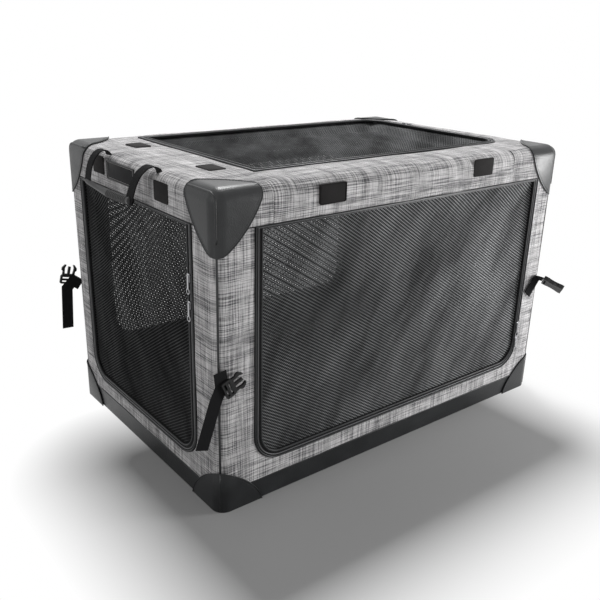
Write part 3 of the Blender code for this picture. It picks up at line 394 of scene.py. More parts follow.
def beads(name, places, size, finish, up):
    """Small rounded beads, such as stitches, laid along a line: one is modelled and copied."""
    seed = block("bead", size)
    edit((bpy.ops.mesh.bevel, {"offset": min(size) * 0.35, "segments": 1}))
    shape = [v.co.copy() for v in seed.data.vertices]
    facets = [tuple(p.vertices) for p in seed.data.polygons]
    bpy.data.objects.remove(seed)
    verts, faces = [], []
    for spot, run in places:
        across = up(spot).cross(run).normalized()
        turn = Matrix((run, across, run.cross(across))).transposed()
        faces += [tuple(len(verts) + i for i in facet) for facet in facets]
        verts += [spot + turn @ v for v in shape]
    mesh = bpy.data.meshes.new(name)
    mesh.from_pydata(verts, [], faces)
    piece = add(name, mesh)
    paint(piece, finish)
    return smooth(piece, 40)


def add_node(tree, kind, links=(), **settings):
    """Add a shader node with its settings, and feed its inputs with values or other sockets."""
    made = tree.nodes.new(kind)
    for key, value in settings.items():
        setattr(made, key, value)
    for socket, source in dict(links).items():
        if isinstance(source, bpy.types.NodeSocket):
            tree.links.new(source, made.inputs[socket])
        else:
            made.inputs[socket].default_value = source
    return made


class Finish:
    """A material under construction: adds nodes by type and joins them in one line."""

    def __init__(self, name, base, roughness, **sockets):
        self.made = bpy.data.materials.new(name)
        self.made.use_nodes = True
        self.tree = self.made.node_tree
        self.shader = self.tree.nodes["Principled BSDF"]
        self.shader.inputs["Base Color"].default_value = (*base, 1)
        self.shader.inputs["Roughness"].default_value = roughness
        for key, value in sockets.items():
            self.shader.inputs[key.replace("_", " ")].default_value = value
        self.made.diffuse_color = (*base, 1)

    def node(self, kind, links=(), **settings):
        return add_node(self.tree, kind, links, **settings)

    def out(self, socket, source):
        self.tree.links.new(source, self.shader.inputs[socket])

    def coords(self, kind="Object", scale=(1, 1, 1), turn=(0, 0, 0)):
        source = self.node("ShaderNodeTexCoord").outputs[kind]
        return self.node("ShaderNodeMapping", {
            "Vector": source, "Scale": scale, "Rotation": turn}).outputs["Vector"]

    def noise(self, vector, scale=1.0, detail=2.0, rough=0.6):
        return self.node("ShaderNodeTexNoise", {
            "Vector": vector, "Scale": scale, "Detail": detail,
            "Roughness": rough}).outputs["Fac"]

    def maths(self, operation, first, second=0.0):
        return self.node("ShaderNodeMath", {0: first, 1: second}, operation=operation).outputs[0]

    def stretch(self, value, low, high, to_low=0.0, to_high=1.0):
        return self.node("ShaderNodeMapRange", {
            "Value": value, "From Min": low, "From Max": high,
            "To Min": to_low, "To Max": to_high}).outputs["Result"]

    def mix(self, share, *ends):
        first, second = (end if isinstance(end, bpy.types.NodeSocket) else (*end, 1)
                         for end in ends)
        return self.node("ShaderNodeMix", {0: share, 6: first, 7: second},
                         data_type="RGBA").outputs[2]

    def bump(self, height, depth, strength):
        self.out("Normal", self.node("ShaderNodeBump", {
            "Height": height, "Distance": depth, "Strength": strength}).outputs["Normal"])


def tint(base, factor, plus=0.002):
    return tuple(min(1, c * factor + plus) for c in base)


def linen(colours):
    """Pale melange cloth: fine dark threads run both ways, thicker in some bands than others,
    with soft blotches of painted shade where crumples would throw shade.
    """
    made = Finish("crate_linen", colours.linen, 0.88, Sheen_Weight=0.1)
    dark = []
    for thread_scale, band_scale in (((10, 640, 1), (2.5, 40, 1)), ((560, 9, 1), (34, 2.5, 1))):
        thread = made.noise(made.coords("UV", thread_scale), rough=0.7)
        band = made.noise(made.coords("UV", band_scale), 1.0, 4.0, 0.65)
        limit = made.stretch(band, 0.36, 0.66, 0.53, 0.41)
        dark.append(made.stretch(made.maths("SUBTRACT", thread, limit), -0.01, 0.11))
    shade = made.maths("ADD", made.maths("MULTIPLY", dark[1], 0.8), dark[0])
    # Painted shade: soft blotches darken the pale threads to 0.3 of their colour, in place of the
    # shade of crumples
    cloudy = made.noise(made.coords("UV", (26, 11, 1)), 1.0, 4.0, 0.65)
    painted_crumple_shade = made.stretch(cloudy, 0.46, 0.72, 0.0, 0.42)
    pale = made.mix(painted_crumple_shade, colours.linen, tint(colours.linen, 0.3, 0.0))
    made.out("Base Color", made.mix(made.maths("MULTIPLY", shade, 0.68), pale, colours.slub))
    weave = made.noise(made.coords("UV", (1000, 1000, 1)), 1.0, 1.0, 0.5)
    made.bump(made.maths("SUBTRACT", weave, shade), 0.0004, 0.5)
    return made.made


def plain_cloth(name, base, roughness=0.85, scale=700.0, depth=0.0004):
    """Plain dark cloth, paler in soft patches."""
    made = Finish(name, base, roughness, Specular_IOR_Level=0.25)
    where = made.coords()
    faded = made.noise(where, 22.0, 3.0)
    made.out("Base Color", made.mix(made.stretch(faded, 0.35, 0.7), base, tint(base, 1.5)))
    made.bump(made.noise(where, scale), depth, 0.6)
    return made.made


def vinyl(colours):
    """Leatherette: a fine pebble grain, with slightly paler wear where it is rubbed."""
    made = Finish("crate_vinyl", colours.vinyl, 0.36, Specular_IOR_Level=0.4)
    where = made.coords()
    pebble = made.node("ShaderNodeTexVoronoi", {"Vector": where, "Scale": 520.0},
                       feature="SMOOTH_F1").outputs["Distance"]
    fine = made.maths("MULTIPLY", made.noise(where, 900.0), 0.35)
    wear = made.noise(where, 16.0, 4.0, 0.65)
    rubbed = made.stretch(wear, 0.4, 0.75)
    made.out("Base Color", made.mix(rubbed, colours.vinyl, tint(colours.vinyl, 1.7)))
    made.out("Roughness", made.stretch(wear, 0.3, 0.7, 0.30, 0.44))
    made.bump(made.maths("ADD", pebble, fine), 0.0006, 0.45)
    return made.made


def netting(name, base, pitch):
    """Open mesh: strong threads run one slant and thinner ones the other, the rest is clear. The
    threads are near black; their crests carry a painted highlight in the net colour, dimmed by
    painted shade.
    """
    made = Finish(name, base, 0.6, Specular_IOR_Level=0.0)
    made.made.surface_render_method = "DITHERED"
    waves = []
    for slant, apart in ((-57, 1.0), (48, 0.75)):
        where = made.node("ShaderNodeSeparateXYZ", {0: made.coords(
            "UV", (1 / (pitch * apart),) * 3, (0, 0, math.radians(slant)))}).outputs["X"]
        waves.append(made.maths("ABSOLUTE", made.maths(
            "SUBTRACT", made.maths("FRACT", where), 0.5)))
    strong, thin = waves
    made.out("Alpha", made.maths("MAXIMUM", made.stretch(strong, 0.13, 0.23),
                                 made.stretch(thin, 0.17, 0.27)))
    # Painted highlight: pale crests on the threads, in place of the glints of glossy nylon
    painted_highlight = made.maths("MULTIPLY", made.stretch(strong, 0.26, 0.40),
                       made.stretch(thin, 0.05, 0.35, 0.45, 1.0))
    painted_highlight = made.maths("MAXIMUM", painted_highlight, made.stretch(thin, 0.30, 0.44, 0.0, 0.55))
    # Painted light and shade: broad slanting streaks, brighter along fold highlights and darker
    # between them
    slant = made.coords("UV", turn=(0, 0, math.radians(-58)))
    folds = made.node("ShaderNodeMapping", {"Vector": slant, "Scale": (3.4, 10.0, 1.0)})
    folds = made.stretch(made.noise(folds.outputs["Vector"], 1.0, 4.0), 0.35, 0.64, 0.3, 1.0)
    # Painted light: the highlight dims towards -X, away from the side lamp, to 0.42 of its
    # strength
    across = made.node("ShaderNodeSeparateXYZ", {0: made.coords()}).outputs["X"]
    painted_light_across = made.stretch(across, -0.42, 0.36, 0.42, 1.0)
    lit = made.maths("MULTIPLY", made.maths("MULTIPLY", folds, painted_light_across), painted_highlight)
    # The threads run from near black to the net colour where the painted highlight is
    made.out("Base Color", made.mix(lit, tint(base, 0.022, 0.0), base))
    made.bump(made.maths("MAXIMUM", strong, thin), 0.0008, 0.4)
    return made.made


def webbing(colours):
    """Ribbed webbing: fine ribs run slantwise across it."""
    made = Finish("crate_webbing", colours.trim, 0.75, Specular_IOR_Level=0.08)
    ribs = made.node("ShaderNodeTexWave", {"Vector": made.coords(), "Scale": 260.0,
                                           "Distortion": 1.2, "Detail": 1.0},
                     wave_type="BANDS", bands_direction="DIAGONAL").outputs["Fac"]
    made.out("Base Color", made.mix(ribs, colours.trim, tint(colours.trim, 2.2)))
    made.bump(ribs, 0.0005, 0.7)
    return made.made


def moulded(name, base, roughness, scale=350.0, gloss=0.5, metallic=0.0):
    """Moulded or plated surface: a fine grain, with smears that change its shine."""
    made = Finish(name, base, roughness, Metallic=metallic, Specular_IOR_Level=gloss)
    where = made.coords()
    smear = made.noise(where, 30.0, 3.0)
    made.out("Roughness", made.stretch(smear, 0.3, 0.7, roughness * 0.85, roughness * 1.2))
    made.out("Base Color", made.mix(made.stretch(smear, 0.35, 0.75), base, tint(base, 1.25)))
    made.bump(made.noise(where, scale), 0.0002, 0.4)
    return made.made


class CRATE_OT_finishes(bpy.types.Operator):
    """Make the crate's materials from the chosen colours"""
    bl_idname = "crate.make_finishes"
    bl_label = "Finishes"

    def execute(self, context):
        colours, pitch = context.scene.crate_colours, context.scene.crate_sizes.net_pitch
        # The second netting is a copy of the net at 0.62 of its brightness: painted shade for the
        # nets of the roof flap, the short door and the window
        FINISHES.update({
            "linen": linen(colours), "vinyl": vinyl(colours), "webbing": webbing(colours),
            "net": netting("crate_netting", tuple(colours.net), pitch),
            "painted_shade_net": netting("crate_painted_shade_netting", tint(colours.net, 0.62, 0.0), pitch)})
        for key, settings in {
                "lining": ((0.008, 0.008, 0.009),),
                "binding": (tuple(colours.trim), 0.75, 900.0),
                "thread": ((0.035, 0.035, 0.037), 0.7, 1500.0),
                "pale_thread": ((0.30, 0.295, 0.29), 0.7, 1500.0),
                "hook": ((0.014, 0.013, 0.013), 0.95, 650.0, 0.0009),
                "fleece": (tuple(colours.mat), 0.95, 240.0, 0.002),
                "board": ((0.03, 0.03, 0.03), 0.8, 300.0)}.items():
            FINISHES[key] = plain_cloth(f"crate_{key}", *settings)
        for key, settings in {
                "coil": ((0.12, 0.12, 0.125), 0.32),
                "steel": ((0.05, 0.05, 0.053), 0.38, 500.0),
                "silver": ((0.34, 0.34, 0.35), 0.26, 200.0, 0.5, 1.0),
                "nylon": ((0.006, 0.006, 0.0065), 0.42, 350.0, 0.3),
                "grip": ((0.009, 0.009, 0.0095), 0.45, 350.0, 0.35),
                "patch": ((0.012, 0.012, 0.013), 0.6, 600.0, 0.15)}.items():
            FINISHES[key] = moulded(f"crate_{key}", *settings)
        return {"FINISHED"}


# The photograph's camera: its place, the directions of its own axes, and its lens in mm
CAMERA_PLACE = (-1.04329, -1.26231, 0.84814)
CAMERA_AXES = ((0.78903, -0.61388, 0.02396), (0.19966, 0.29311, 0.93500),
               (-0.58100, -0.73296, 0.35384))
CAMERA_LENS = 44.4547


def lamp(name, power, size, place, target):
    data = bpy.data.lights.new(name, "AREA")
    data.energy, data.shape, data.size = power, "DISK", size
    made = add(name, data)
    made.location = place
    made.rotation_mode = "QUATERNION"
    made.rotation_quaternion = (Vector(target) - Vector(place)).to_track_quat("-Z", "Y")


def camera_sees(tree):
    """Whether a ray comes from the camera, or shows the backdrop in a mirror or through glass."""
    path = add_node(tree, "ShaderNodeLightPath").outputs
    seen = path["Is Camera Ray"]
    for name in ("Is Glossy Ray", "Is Transmission Ray"):
        seen = add_node(tree, "ShaderNodeMath", {0: seen, 1: path[name]},
                        operation="MAXIMUM").outputs[0]
    return seen


class CRATE_OT_stage(bpy.types.Operator):
    """Set the camera, the lamps, the floor and the backdrop"""
    bl_idname = "crate.set_stage"
    bl_label = "Stage"

    def execute(self, context):
        scene = context.scene
        scene.view_settings.view_transform = "Standard"
        lens = bpy.data.cameras.new("camera")
        lens.lens = CAMERA_LENS
        lens.sensor_width = 36
        scene.camera = add("camera", lens)
        scene.camera.matrix_world = (Matrix.Translation(CAMERA_PLACE)
                                     @ Matrix(CAMERA_AXES).transposed().to_4x4())
        scene.world = scene.world or bpy.data.worlds.new("world")
        scene.world.use_nodes = True
        tree = scene.world.node_tree
        tree.nodes.clear()
        soft, seen = (add_node(tree, "ShaderNodeBackground", {
            "Color": (1, 1, 1, 1), "Strength": strength}).outputs[0] for strength in (0.24, 1.0))
        sky = add_node(tree, "ShaderNodeMixShader", {0: camera_sees(tree), 1: soft, 2: seen})
        add_node(tree, "ShaderNodeOutputWorld", {0: sky.outputs[0]})
        lamp("key", 72, 1.1, (0.75, 1.15, 2.9), (0, 0, 0.3))
        lamp("side", 31, 0.8, (1.7, -1.45, 0.45), (0.3, -0.1, 0.3))
        lamp("fill", 7, 1.6, (-2.1, -0.6, 1.5), (0, 0, 0.3))
        bpy.ops.mesh.primitive_circle_add(vertices=96, radius=14, fill_type="NGON")
        floor = rename(active(), "floor")
        floor.data.materials.append(self.paper())
        return {"FINISHED"}

    def paper(self):
        """White paper with a painted shadow, darker in a patch under and in front of the crate
        where its shadow falls, that glows white away from it, as a backdrop does.
        """
        paper = Finish("floor_paper", (0.80, 0.80, 0.80), 0.95, Specular_IOR_Level=0.1)
        where = paper.coords()
        # The patch of painted shadow is a box under and in front of the crate; the distance from
        # it sets how dark the paper is
        for operation, value in (("SUBTRACT", (-0.12, -0.28, 0)), ("ABSOLUTE", (0, 0, 0)),
                                 ("SUBTRACT", (0.36, 0.22, 0)), ("MAXIMUM", (0, 0, 0))):
            where = paper.node("ShaderNodeVectorMath", {0: where, 1: value},
                               operation=operation).outputs["Vector"]
        away = paper.node("ShaderNodeVectorMath", {0: where}, operation="LENGTH")
        faded = paper.stretch(away.outputs["Value"], 0.03, 0.26)
        # Painted shadow: the paper is 0.52 in the patch and 0.80 away from it
        paper.out("Base Color", paper.mix(faded, (0.52,) * 3, (0.80,) * 3))
        glow = paper.node("ShaderNodeEmission", {"Color": (1, 1, 1, 1), "Strength": 1.0})
        pick = paper.node("ShaderNodeMixShader", {
            0: paper.maths("MULTIPLY", faded, camera_sees(paper.tree)),
            1: paper.shader.outputs[0], 2: glow.outputs[0]})
        surface = paper.tree.nodes["Material Output"].inputs["Surface"]
        paper.tree.links.new(pick.outputs[0], surface)
        return paper.made


def u_shape(half, low, high, door):
    """A wall's pattern with a door cut out of it, open at the top."""
    left, right, sill, _ = inset(door, -ZIP_GAP)
    notch = arc_points((left + DOOR_ROUND, sill + DOOR_ROUND), DOOR_ROUND, 180, 270)
    notch += arc_points((right - DOOR_ROUND, sill + DOOR_ROUND), DOOR_ROUND, 270, 360)
    return [(-half, high), (-half, low), (half, low), (half, high), (right, high),
            *notch[::-1], (left, high)]


class CRATE_OT_walls(bpy.types.Operator):
    """Add the four padded walls with the piping of their corner seams"""
    bl_idname = "crate.add_walls"
    bl_label = "Walls"

    def execute(self, context):
        sizes = context.scene.crate_sizes
        low, high = BAND_TOP + GAP, SKIRT_Z - GAP
        long, short = (corner + ARC / 2 - sizes.piping for corner in (CORNER_X, CORNER_Y))
        window = rounded(*inset(WINDOW, WINDOW_HEM), (WINDOW_ROUND,) * 4)

        def plain(half):
            return [(-half, low), (half, low), (half, high), (-half, high)]
        for name, corner, side, loops in (
                ("front_wall", CORNER_X, -1, [u_shape(long, low, high, LONG_DOOR)]),
                ("back_wall", CORNER_X, 1, [plain(long), window]),
                ("left_wall", CORNER_Y, -1, [u_shape(short, low, high, SHORT_DOOR)]),
                ("right_wall", CORNER_Y, 1, [plain(short)])):
            on_long = corner == CORNER_X
            cloth = pattern(f"{name}_cloth", loops)
            cut_cells(cloth, marks(-corner, corner, sizes.cell) + bend_marks(corner, ARC / 2),
                      marks(low, high, sizes.cell), turned=on_long == (side > 0))
            wrap(cloth, wall_place(on_long, side), CLOTH - GAP, "linen", "lining", sizes.puff)
            hang(cloth, "base", "grey_linen", name, soft=BASE_SOFT)
        seam_low, seam_high, step = low + 0.03, high - 0.01, 0.03
        reach = EDGE * math.sqrt(0.5)
        rim_radius, proud = 0.0018, 0.0004
        for name, x_side, y_side in CORNERS:
            x, y = x_side * (CORNER_X + reach), y_side * (CORNER_Y + reach)
            line = [(x, y, z) for z in
                    (seam_low, *marks(seam_low, seam_high, step), seam_high)]
            sew(f"corner_piping_{name}", line, sizes.piping, "vinyl", "base", "black_vinyl",
                BASE_SOFT)
        sew("window_piping", [(u, SKIN_Y + proud, v) for u, v in window], rim_radius, "vinyl",
            "base", "black_vinyl", BASE_SOFT, True)
        return {"FINISHED"}


class CRATE_OT_lid(bpy.types.Operator):
    """Add the lid with its skirt, and the padded header over the large door"""
    bl_idname = "crate.add_lid"
    bl_label = "Lid and header"

    def execute(self, context):
        sizes = context.scene.crate_sizes
        skirt = SKIN_TOP - EDGE - SKIRT_Z
        far_x, far_y = CORNER_X + ARC + skirt, CORNER_Y + ARC + skirt
        left, right, _, _ = sides("front_header", "xy")
        flap_left, flap_right, back, flap_back = inset(FLAP, -ZIP_GAP)
        shoulder = 0.070
        turn = arc_points((right - shoulder, back - shoulder), shoulder + GAP, 0, 90)
        outline = [(-CORNER_X, far_y), (-CORNER_X, CORNER_Y), (-far_x, CORNER_Y),
                   (-far_x, -CORNER_Y), (-CORNER_X, -CORNER_Y), (-CORNER_X, -far_y),
                   (left - GAP, -far_y), (left - GAP, back + GAP), *turn[::-1],
                   (right + GAP, -far_y), (CORNER_X, -far_y), (CORNER_X, -CORNER_Y),
                   (far_x, -CORNER_Y), (far_x, CORNER_Y), (CORNER_X, CORNER_Y),
                   (CORNER_X, far_y)]
        flap = rounded(flap_left, flap_right, back + GAP * 3, flap_back,
                       (DOOR_ROUND, DOOR_ROUND, 0, 0))
        lid = pattern("lid_cloth", [outline, flap])
        cut_cells(lid, *(marks(-corner, corner, sizes.cell) + bend_marks(corner, ARC)
                         + [s * (corner + ARC + skirt * k / 4) for s in (-1, 1)
                            for k in (1, 2, 3)] for corner in (CORNER_X, CORNER_Y)))
        wrap(lid, lid_place(), CLOTH - GAP, "linen", "lining", sizes.puff)
        hang(lid, "roof", "grey_linen", "roof_cover")

        edge = EDGE + CLOTH
        corner = SKIN_Y - edge
        bend = corner + edge * math.pi / 2
        low = -(bend + SKIN_TOP - edge - SKIRT_Z)
        header = pattern("header_cloth", [rounded(left + GAP, right - GAP, low, back,
                                                  (0, shoulder, 0, 0))])
        arc = [-(corner + edge * math.pi / 2 * k / 9) for k in range(10)]
        cut_cells(header, marks(left, right, sizes.cell), arc + marks(-corner, back, sizes.cell)
                  + marks(low, arc[-1], sizes.cell))
        place = lid_place(edge)
        hem, low_hem, swell = 0.02, 0.015, 0.0016

        def puffed(u, v):
            spot, out = place(u, v)
            share = max(0.0, min(1.0, (u - left) / hem, (right - u) / hem,
                                 (v - low) / low_hem, (back - v) / hem))
            return spot + out * swell * math.sin(share * math.pi / 2), out
        wrap(header, puffed, CLOTH - GAP, "linen", "lining", sizes.puff)
        hang(header, "roof", "grey_linen", "front_header")
        return {"FINISHED"}


def creases(u, v, depth, tilt, seed):
    """Soft folds that run slantwise over a slack net."""
    run = noise.noise(Vector((u * 3.0 + v * tilt, v * 1.4 - u * 0.6, seed)))
    fine = noise.noise(Vector((u * 11 + v * tilt * 4, v * 4, seed + 5)))
    return depth * (0.55 + 0.9 * run + 0.35 * fine)


def net_piece(node, extent, radii, place, folds, body, soft=None, turned=False, slack=0.0):
    """A net: a single sheet that sags and creases a little between its bound edges."""
    left, right, low, high = extent
    cell, tight = bpy.context.scene.crate_sizes.net_cell, 0.06
    net = pattern(f"{node}_net", [rounded(*extent, radii)])
    cut_cells(net, marks(left, right, cell), marks(low, high, cell), turned)
    lay_uv(net)
    for vert in net.data.vertices:
        u, v = vert.co.xy
        spot, out = place(u, v)
        free = max(0.0, min(1.0, min(u - left, right - u, v - low, high - v) / tight))
        free = free * free * (3 - 2 * free)
        vert.co = spot - out * (slack + creases(u, v, *folds)) * free
    # Painted shade: only the long door's net takes the full net colour, the others take the
    # darker copy
    paint(net, "net" if "long" in node else "painted_shade_net")
    smooth(net)
    hang(net, body, "black_netting", node, soft=soft)


class CRATE_OT_nets(bpy.types.Operator):
    """Add the nets of the doors, the flap and the window"""
    bl_idname = "crate.add_nets"
    bl_label = "Nets"

    def execute(self, context):
        under = 0.002
        turn = DOOR_ROUND - under
        depth = 0.003
        for door, axes, rim, folds in (("long_door", "xz", LONG_DOOR, (0.010, 1.8, 2.0)),
                                       ("short_door", "yz", SHORT_DOOR, (0.009, 2.2, 9.0))):
            on_long = door == "long_door"
            net_piece(f"{door}_mesh", (*sides(f"{door}_mesh", axes)[:3], rim[3] - under),
                      (turn, 0, 0, turn), wall_place(on_long, -1, depth), folds, door,
                      ROOF_SOFT, turned=not on_long)
        net_piece("roof_flap_mesh", sides("roof_flap_mesh", "xy"), (turn, turn, 0, 0),
                  roof_place(depth), (0.006, 2.5, 4.0), "roof_flap", slack=0.012)
        net_piece("back_window_mesh", WINDOW, (WINDOW_ROUND + WINDOW_HEM,) * 4,
                  wall_place(True, 1, CLOTH + GAP), (0.007, 1.0, 6.0), "base", BASE_SOFT,
                  turned=True)
        return {"FINISHED"}


class CRATE_OT_edges(bpy.types.Operator):
    """Add the bound edges of the doors and the flap, with the coils of their zips"""
    bl_idname = "crate.add_edges"
    bl_label = "Bound edges and zips"

    def execute(self, context):
        wide, thick, proud, step, border = 0.016, 0.0028, 0.001, 0.02, 0.008
        door_round, flap_round = (DOOR_ROUND, 0, 0, DOOR_ROUND), (DOOR_ROUND, DOOR_ROUND, 0, 0)
        for name, extent, radii, place, soft, turned in (
                ("long_door", LONG_DOOR, door_round, wall_place(True, -1, -proud), ROOF_SOFT,
                 False),
                ("short_door", SHORT_DOOR, door_round, wall_place(False, -1, -proud), ROOF_SOFT,
                 True),
                ("roof_flap", FLAP, flap_round, roof_place(-proud), None, False)):
            left, right, low, high = extent
            top = 1.0 if name == "roof_flap" else 0.25

            def rim(by):
                return rounded(left + by, right - by, low + by, high - by * top,
                               [max(0, r - by) for r in radii])
            edge = pattern(f"{name}_edge", [rim(0), rim(wide)])
            cut_cells(edge, marks(left, right, step) + [left + border, right - border],
                      marks(low, high, step) + [low + border, high - border], turned)
            wrap(edge, place, thick, "binding", "binding")
            hang(edge, name, "black_binding", f"{name}_binding", soft=soft)
            for label, by, radius, finish in (("outer_rim", 0.0020, 0.0017, "vinyl"),
                                              ("coil", wide * 0.42, 0.0011, "coil"),
                                              ("inner_rim", wide - 0.0018, 0.0018, "vinyl")):
                line = [spot + out * radius * 0.3
                        for spot, out in (place(u, v) for u, v in rim(by))]
                sew(f"{name}_{label}", line, radius, finish, name, "black_binding", soft, True)
        return {"FINISHED"}


class CRATE_OT_zips(bpy.types.Operator):
    """Copy the sliders and pulls of the doors' zips, give them the silver finish and hang each on
    a body of its own
    """
    bl_idname = "crate.hang_zips"
    bl_label = "Sliders and pulls"

    def execute(self, context):
        for zip_name in ("long_door_upper", "long_door_lower", "short_door_upper",
                         "short_door_lower"):
            for part in ("slider", "pull"):
                name = f"{zip_name}_{part}"
                piece = add(f"{name}_zip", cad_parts[name].data.copy())
                paint(piece, "silver")
                hang(piece, f"{zip_name}_zip_{part}", "silver_metal", name, soft=ROOF_SOFT)
        return {"FINISHED"}


def round_block(name, half_x, half_y, low, high, radius, steps=10):
    """A block with rounded edges, centred on the crate."""
    piece = block(name, (half_x * 2, half_y * 2, high - low), (0, 0, (high + low) / 2))
    edit((bpy.ops.mesh.bevel, {"offset": radius, "segments": steps, "profile": 0.5}))
    return piece


def boolean(piece, operation, other):
    modify(piece, "BOOLEAN", operation=operation, object=other, solver="EXACT")
    bpy.data.objects.remove(other)


def lobe(centre, reach):
    """A bulging blob whose outline decides how far a cap reaches from its corner."""
    bpy.ops.mesh.primitive_uv_sphere_add(segments=64, ring_count=32, radius=1)
    piece = active()
    for vert in piece.data.vertices:
        size = sum(abs(c / r) ** CAP_BULGE for c, r in zip(vert.co, reach))
        vert.co = Vector(centre) + vert.co * size ** (-1 / CAP_BULGE)
    return piece


def all_caps():
    """Each cap: its level, its corner's name and sides, and the corner of the block there."""
    for name, x_side, y_side in CORNERS:
        for level in ("top", "bottom"):
            height = CAP_FAR.z if level == "top" else 0.0
            yield level, name, x_side, y_side, Vector((x_side * CAP_FAR.x, y_side * CAP_FAR.y,
                                                       height))


class CRATE_OT_caps(bpy.types.Operator):
    """Add the eight stitched corner caps"""
    bl_idname = "crate.add_caps"
    bl_label = "Corner caps"

    def execute(self, context):
        middle, spare = 0.3, 0.1
        for level, name, _, _, corner in all_caps():
            top = level == "top"
            low, high = (middle, CAP_FAR.z) if top else (-0.2, middle)
            cap = round_block(f"{level}_cap_{name}_vinyl", CAP_FAR.x, CAP_FAR.y, low, high,
                              CAP_EDGE)
            low, high = (middle - spare, SKIN_TOP + GAP) if top else (-0.3, middle + spare)
            hollow = round_block("hollow", SKIN_X + GAP, SKIN_Y + GAP, low, high, EDGE + GAP)
            boolean(cap, "INTERSECT", lobe(corner, CAP_REACH[level]))
            if not top:
                boolean(cap, "DIFFERENCE", round_block("floor", 0.6, 0.6, -0.5, GAP, 0.001, 1))
            boolean(cap, "DIFFERENCE", hollow)
            modify(cap, "BEVEL", width=0.0009, segments=3, limit_method="ANGLE",
                   angle_limit=math.radians(50))
            paint(cap, "vinyl")
            smooth(cap, 40)
            hang(cap, "roof" if top else "base", "black_vinyl", f"{level}_cap_{name}",
                 soft=CAP_SOFT[level])
        return {"FINISHED"}


def on_block(spot, height=CAP_FAR.z):
    """The nearest place on the outside of the caps' block, whose edges are rounded."""
    inner = Vector((max(CAP_EDGE - CAP_FAR.x, min(CAP_FAR.x - CAP_EDGE, spot.x)),
                    max(CAP_EDGE - CAP_FAR.y, min(CAP_FAR.y - CAP_EDGE, spot.y)),
                    max(CAP_EDGE, min(height - CAP_EDGE, spot.z))))
    return inner + (spot - inner).normalized() * CAP_EDGE


def beside_block(spot):
    """The nearest place on the block's walls; its height stays as it is."""
    flat = on_block(Vector((spot.x, spot.y, 0.1)), 1.0)
    return Vector((flat.x, flat.y, max(0.0, spot.z)))


def rim_spots(level, x_side, y_side, corner):
    """Places round a cap's rim: from the corner, outwards over the block until the lobe ends."""
    top = level == "top"
    start = on_block(corner) if top else corner
    axis = Vector((x_side, y_side, 1 if top else 0)).normalized()
    first = Vector((-x_side, y_side, 0)).normalized()
    second = axis.cross(first) if top else Vector((0, 0, 1))
    spots = []
    for index in range(72 if top else 37):
        turn = index * 2 * math.pi / 72
        heading = first * math.cos(turn) + second * math.sin(turn)
        near, away = 0.0, 0.3
        for _ in range(24):
            middle = (near + away) / 2
            spot = start + heading * middle
            spot = on_block(spot - axis * middle * 0.8) if top else beside_block(spot)
            if sum(abs(c / r) ** CAP_BULGE for c, r in zip(spot - corner, CAP_REACH[level])) < 1:
                near = middle
            else:
                away = middle
        spots.append(spot)
    return spots


class CRATE_OT_cap_seams(bpy.types.Operator):
    """Pipe the rims of the corner caps, and stitch them beside the piping"""
    bl_idname = "crate.add_cap_seams"
    bl_label = "Cap seams"

    def execute(self, context):
        stitch = context.scene.crate_sizes.stitch
        inward, thread, stitch_low, on_floor = 0.0045, 0.0007, 0.006, 0.02
        for level, name, x_side, y_side, corner in all_caps():
            top = level == "top"
            hung = {"body": "roof" if top else "base", "slot": "black_vinyl",
                    "soft": CAP_SOFT[level]}
            spots = rim_spots(level, x_side, y_side, corner)
            sew(f"{level}_cap_rim_{name}", spots, 0.0010, "vinyl", **hung, closed=top)
            inner = [on_block(corner + (p - corner) * (1 - inward / (p - corner).length))
                     if top or p.z > on_floor else p for p in spots]
            places = [(p, run) for p, run in along(inner, stitch * 1.5, top)
                      if p.z > stitch_low]
            middle = Vector((corner.x * 0.8, corner.y * 0.8, corner.z * 0.6))
            sewn = beads(f"{level}_cap_stitches_{name}", places, (stitch, thread, thread),
                         "thread", lambda p: p - middle)
            hang(sewn, **hung)
            pole = corner - Vector((x_side, y_side, 0)) * CAP_EDGE
            pole.z = CAP_FAR.z - CAP_EDGE
            slant = pole + Vector((x_side, y_side, 0)) * math.sqrt(0.5) * CAP_EDGE
            if not top:
                line = [(slant.x, slant.y, z) for z in (0.082, 0.06, 0.04, 0.02, 0.004)]
                sew(f"base_cap_seam_{name}", line, 0.0016, "vinyl", **hung)
                continue
            line = [pole + Vector((x_side * 0.7, -y_side * d / CAP_EDGE, 0.7)) * CAP_EDGE
                    for d in (0.066, 0.05, 0.035, 0.02, 0.008)]
            line += [pole + Vector((x_side, y_side * math.sin(t),
                                    math.cos(t))).normalized() * CAP_EDGE
                     for t in (k * math.pi / 24 for k in range(13))]
            line += [slant - Vector((0, 0, d)) for d in (0.012, 0.026, 0.04, 0.054, 0.064)]
            sew(f"cap_seam_{name}", line, 0.0021, "vinyl", **hung)
        return {"FINISHED"}


class CRATE_OT_seams(bpy.types.Operator):
    """Pipe the top of the base band and the lower edge of the lid's skirt"""
    bl_idname = "crate.add_seams"
    bl_label = "Seams"

    def execute(self, context):
        around = rounded(-SKIN_X, SKIN_X, -SKIN_Y, SKIN_Y, (EDGE,) * 4)
        for name, z, radius, body, finish in (
                ("base_piping", BAND_TOP, 0.0014, "base", "vinyl"),
                ("skirt_piping", SKIRT_Z, 0.0011, "roof", "binding")):
            sew(name, [(x, y, z) for x, y in around], radius, finish, body, "black_binding",
                closed=True)
        return {"FINISHED"}


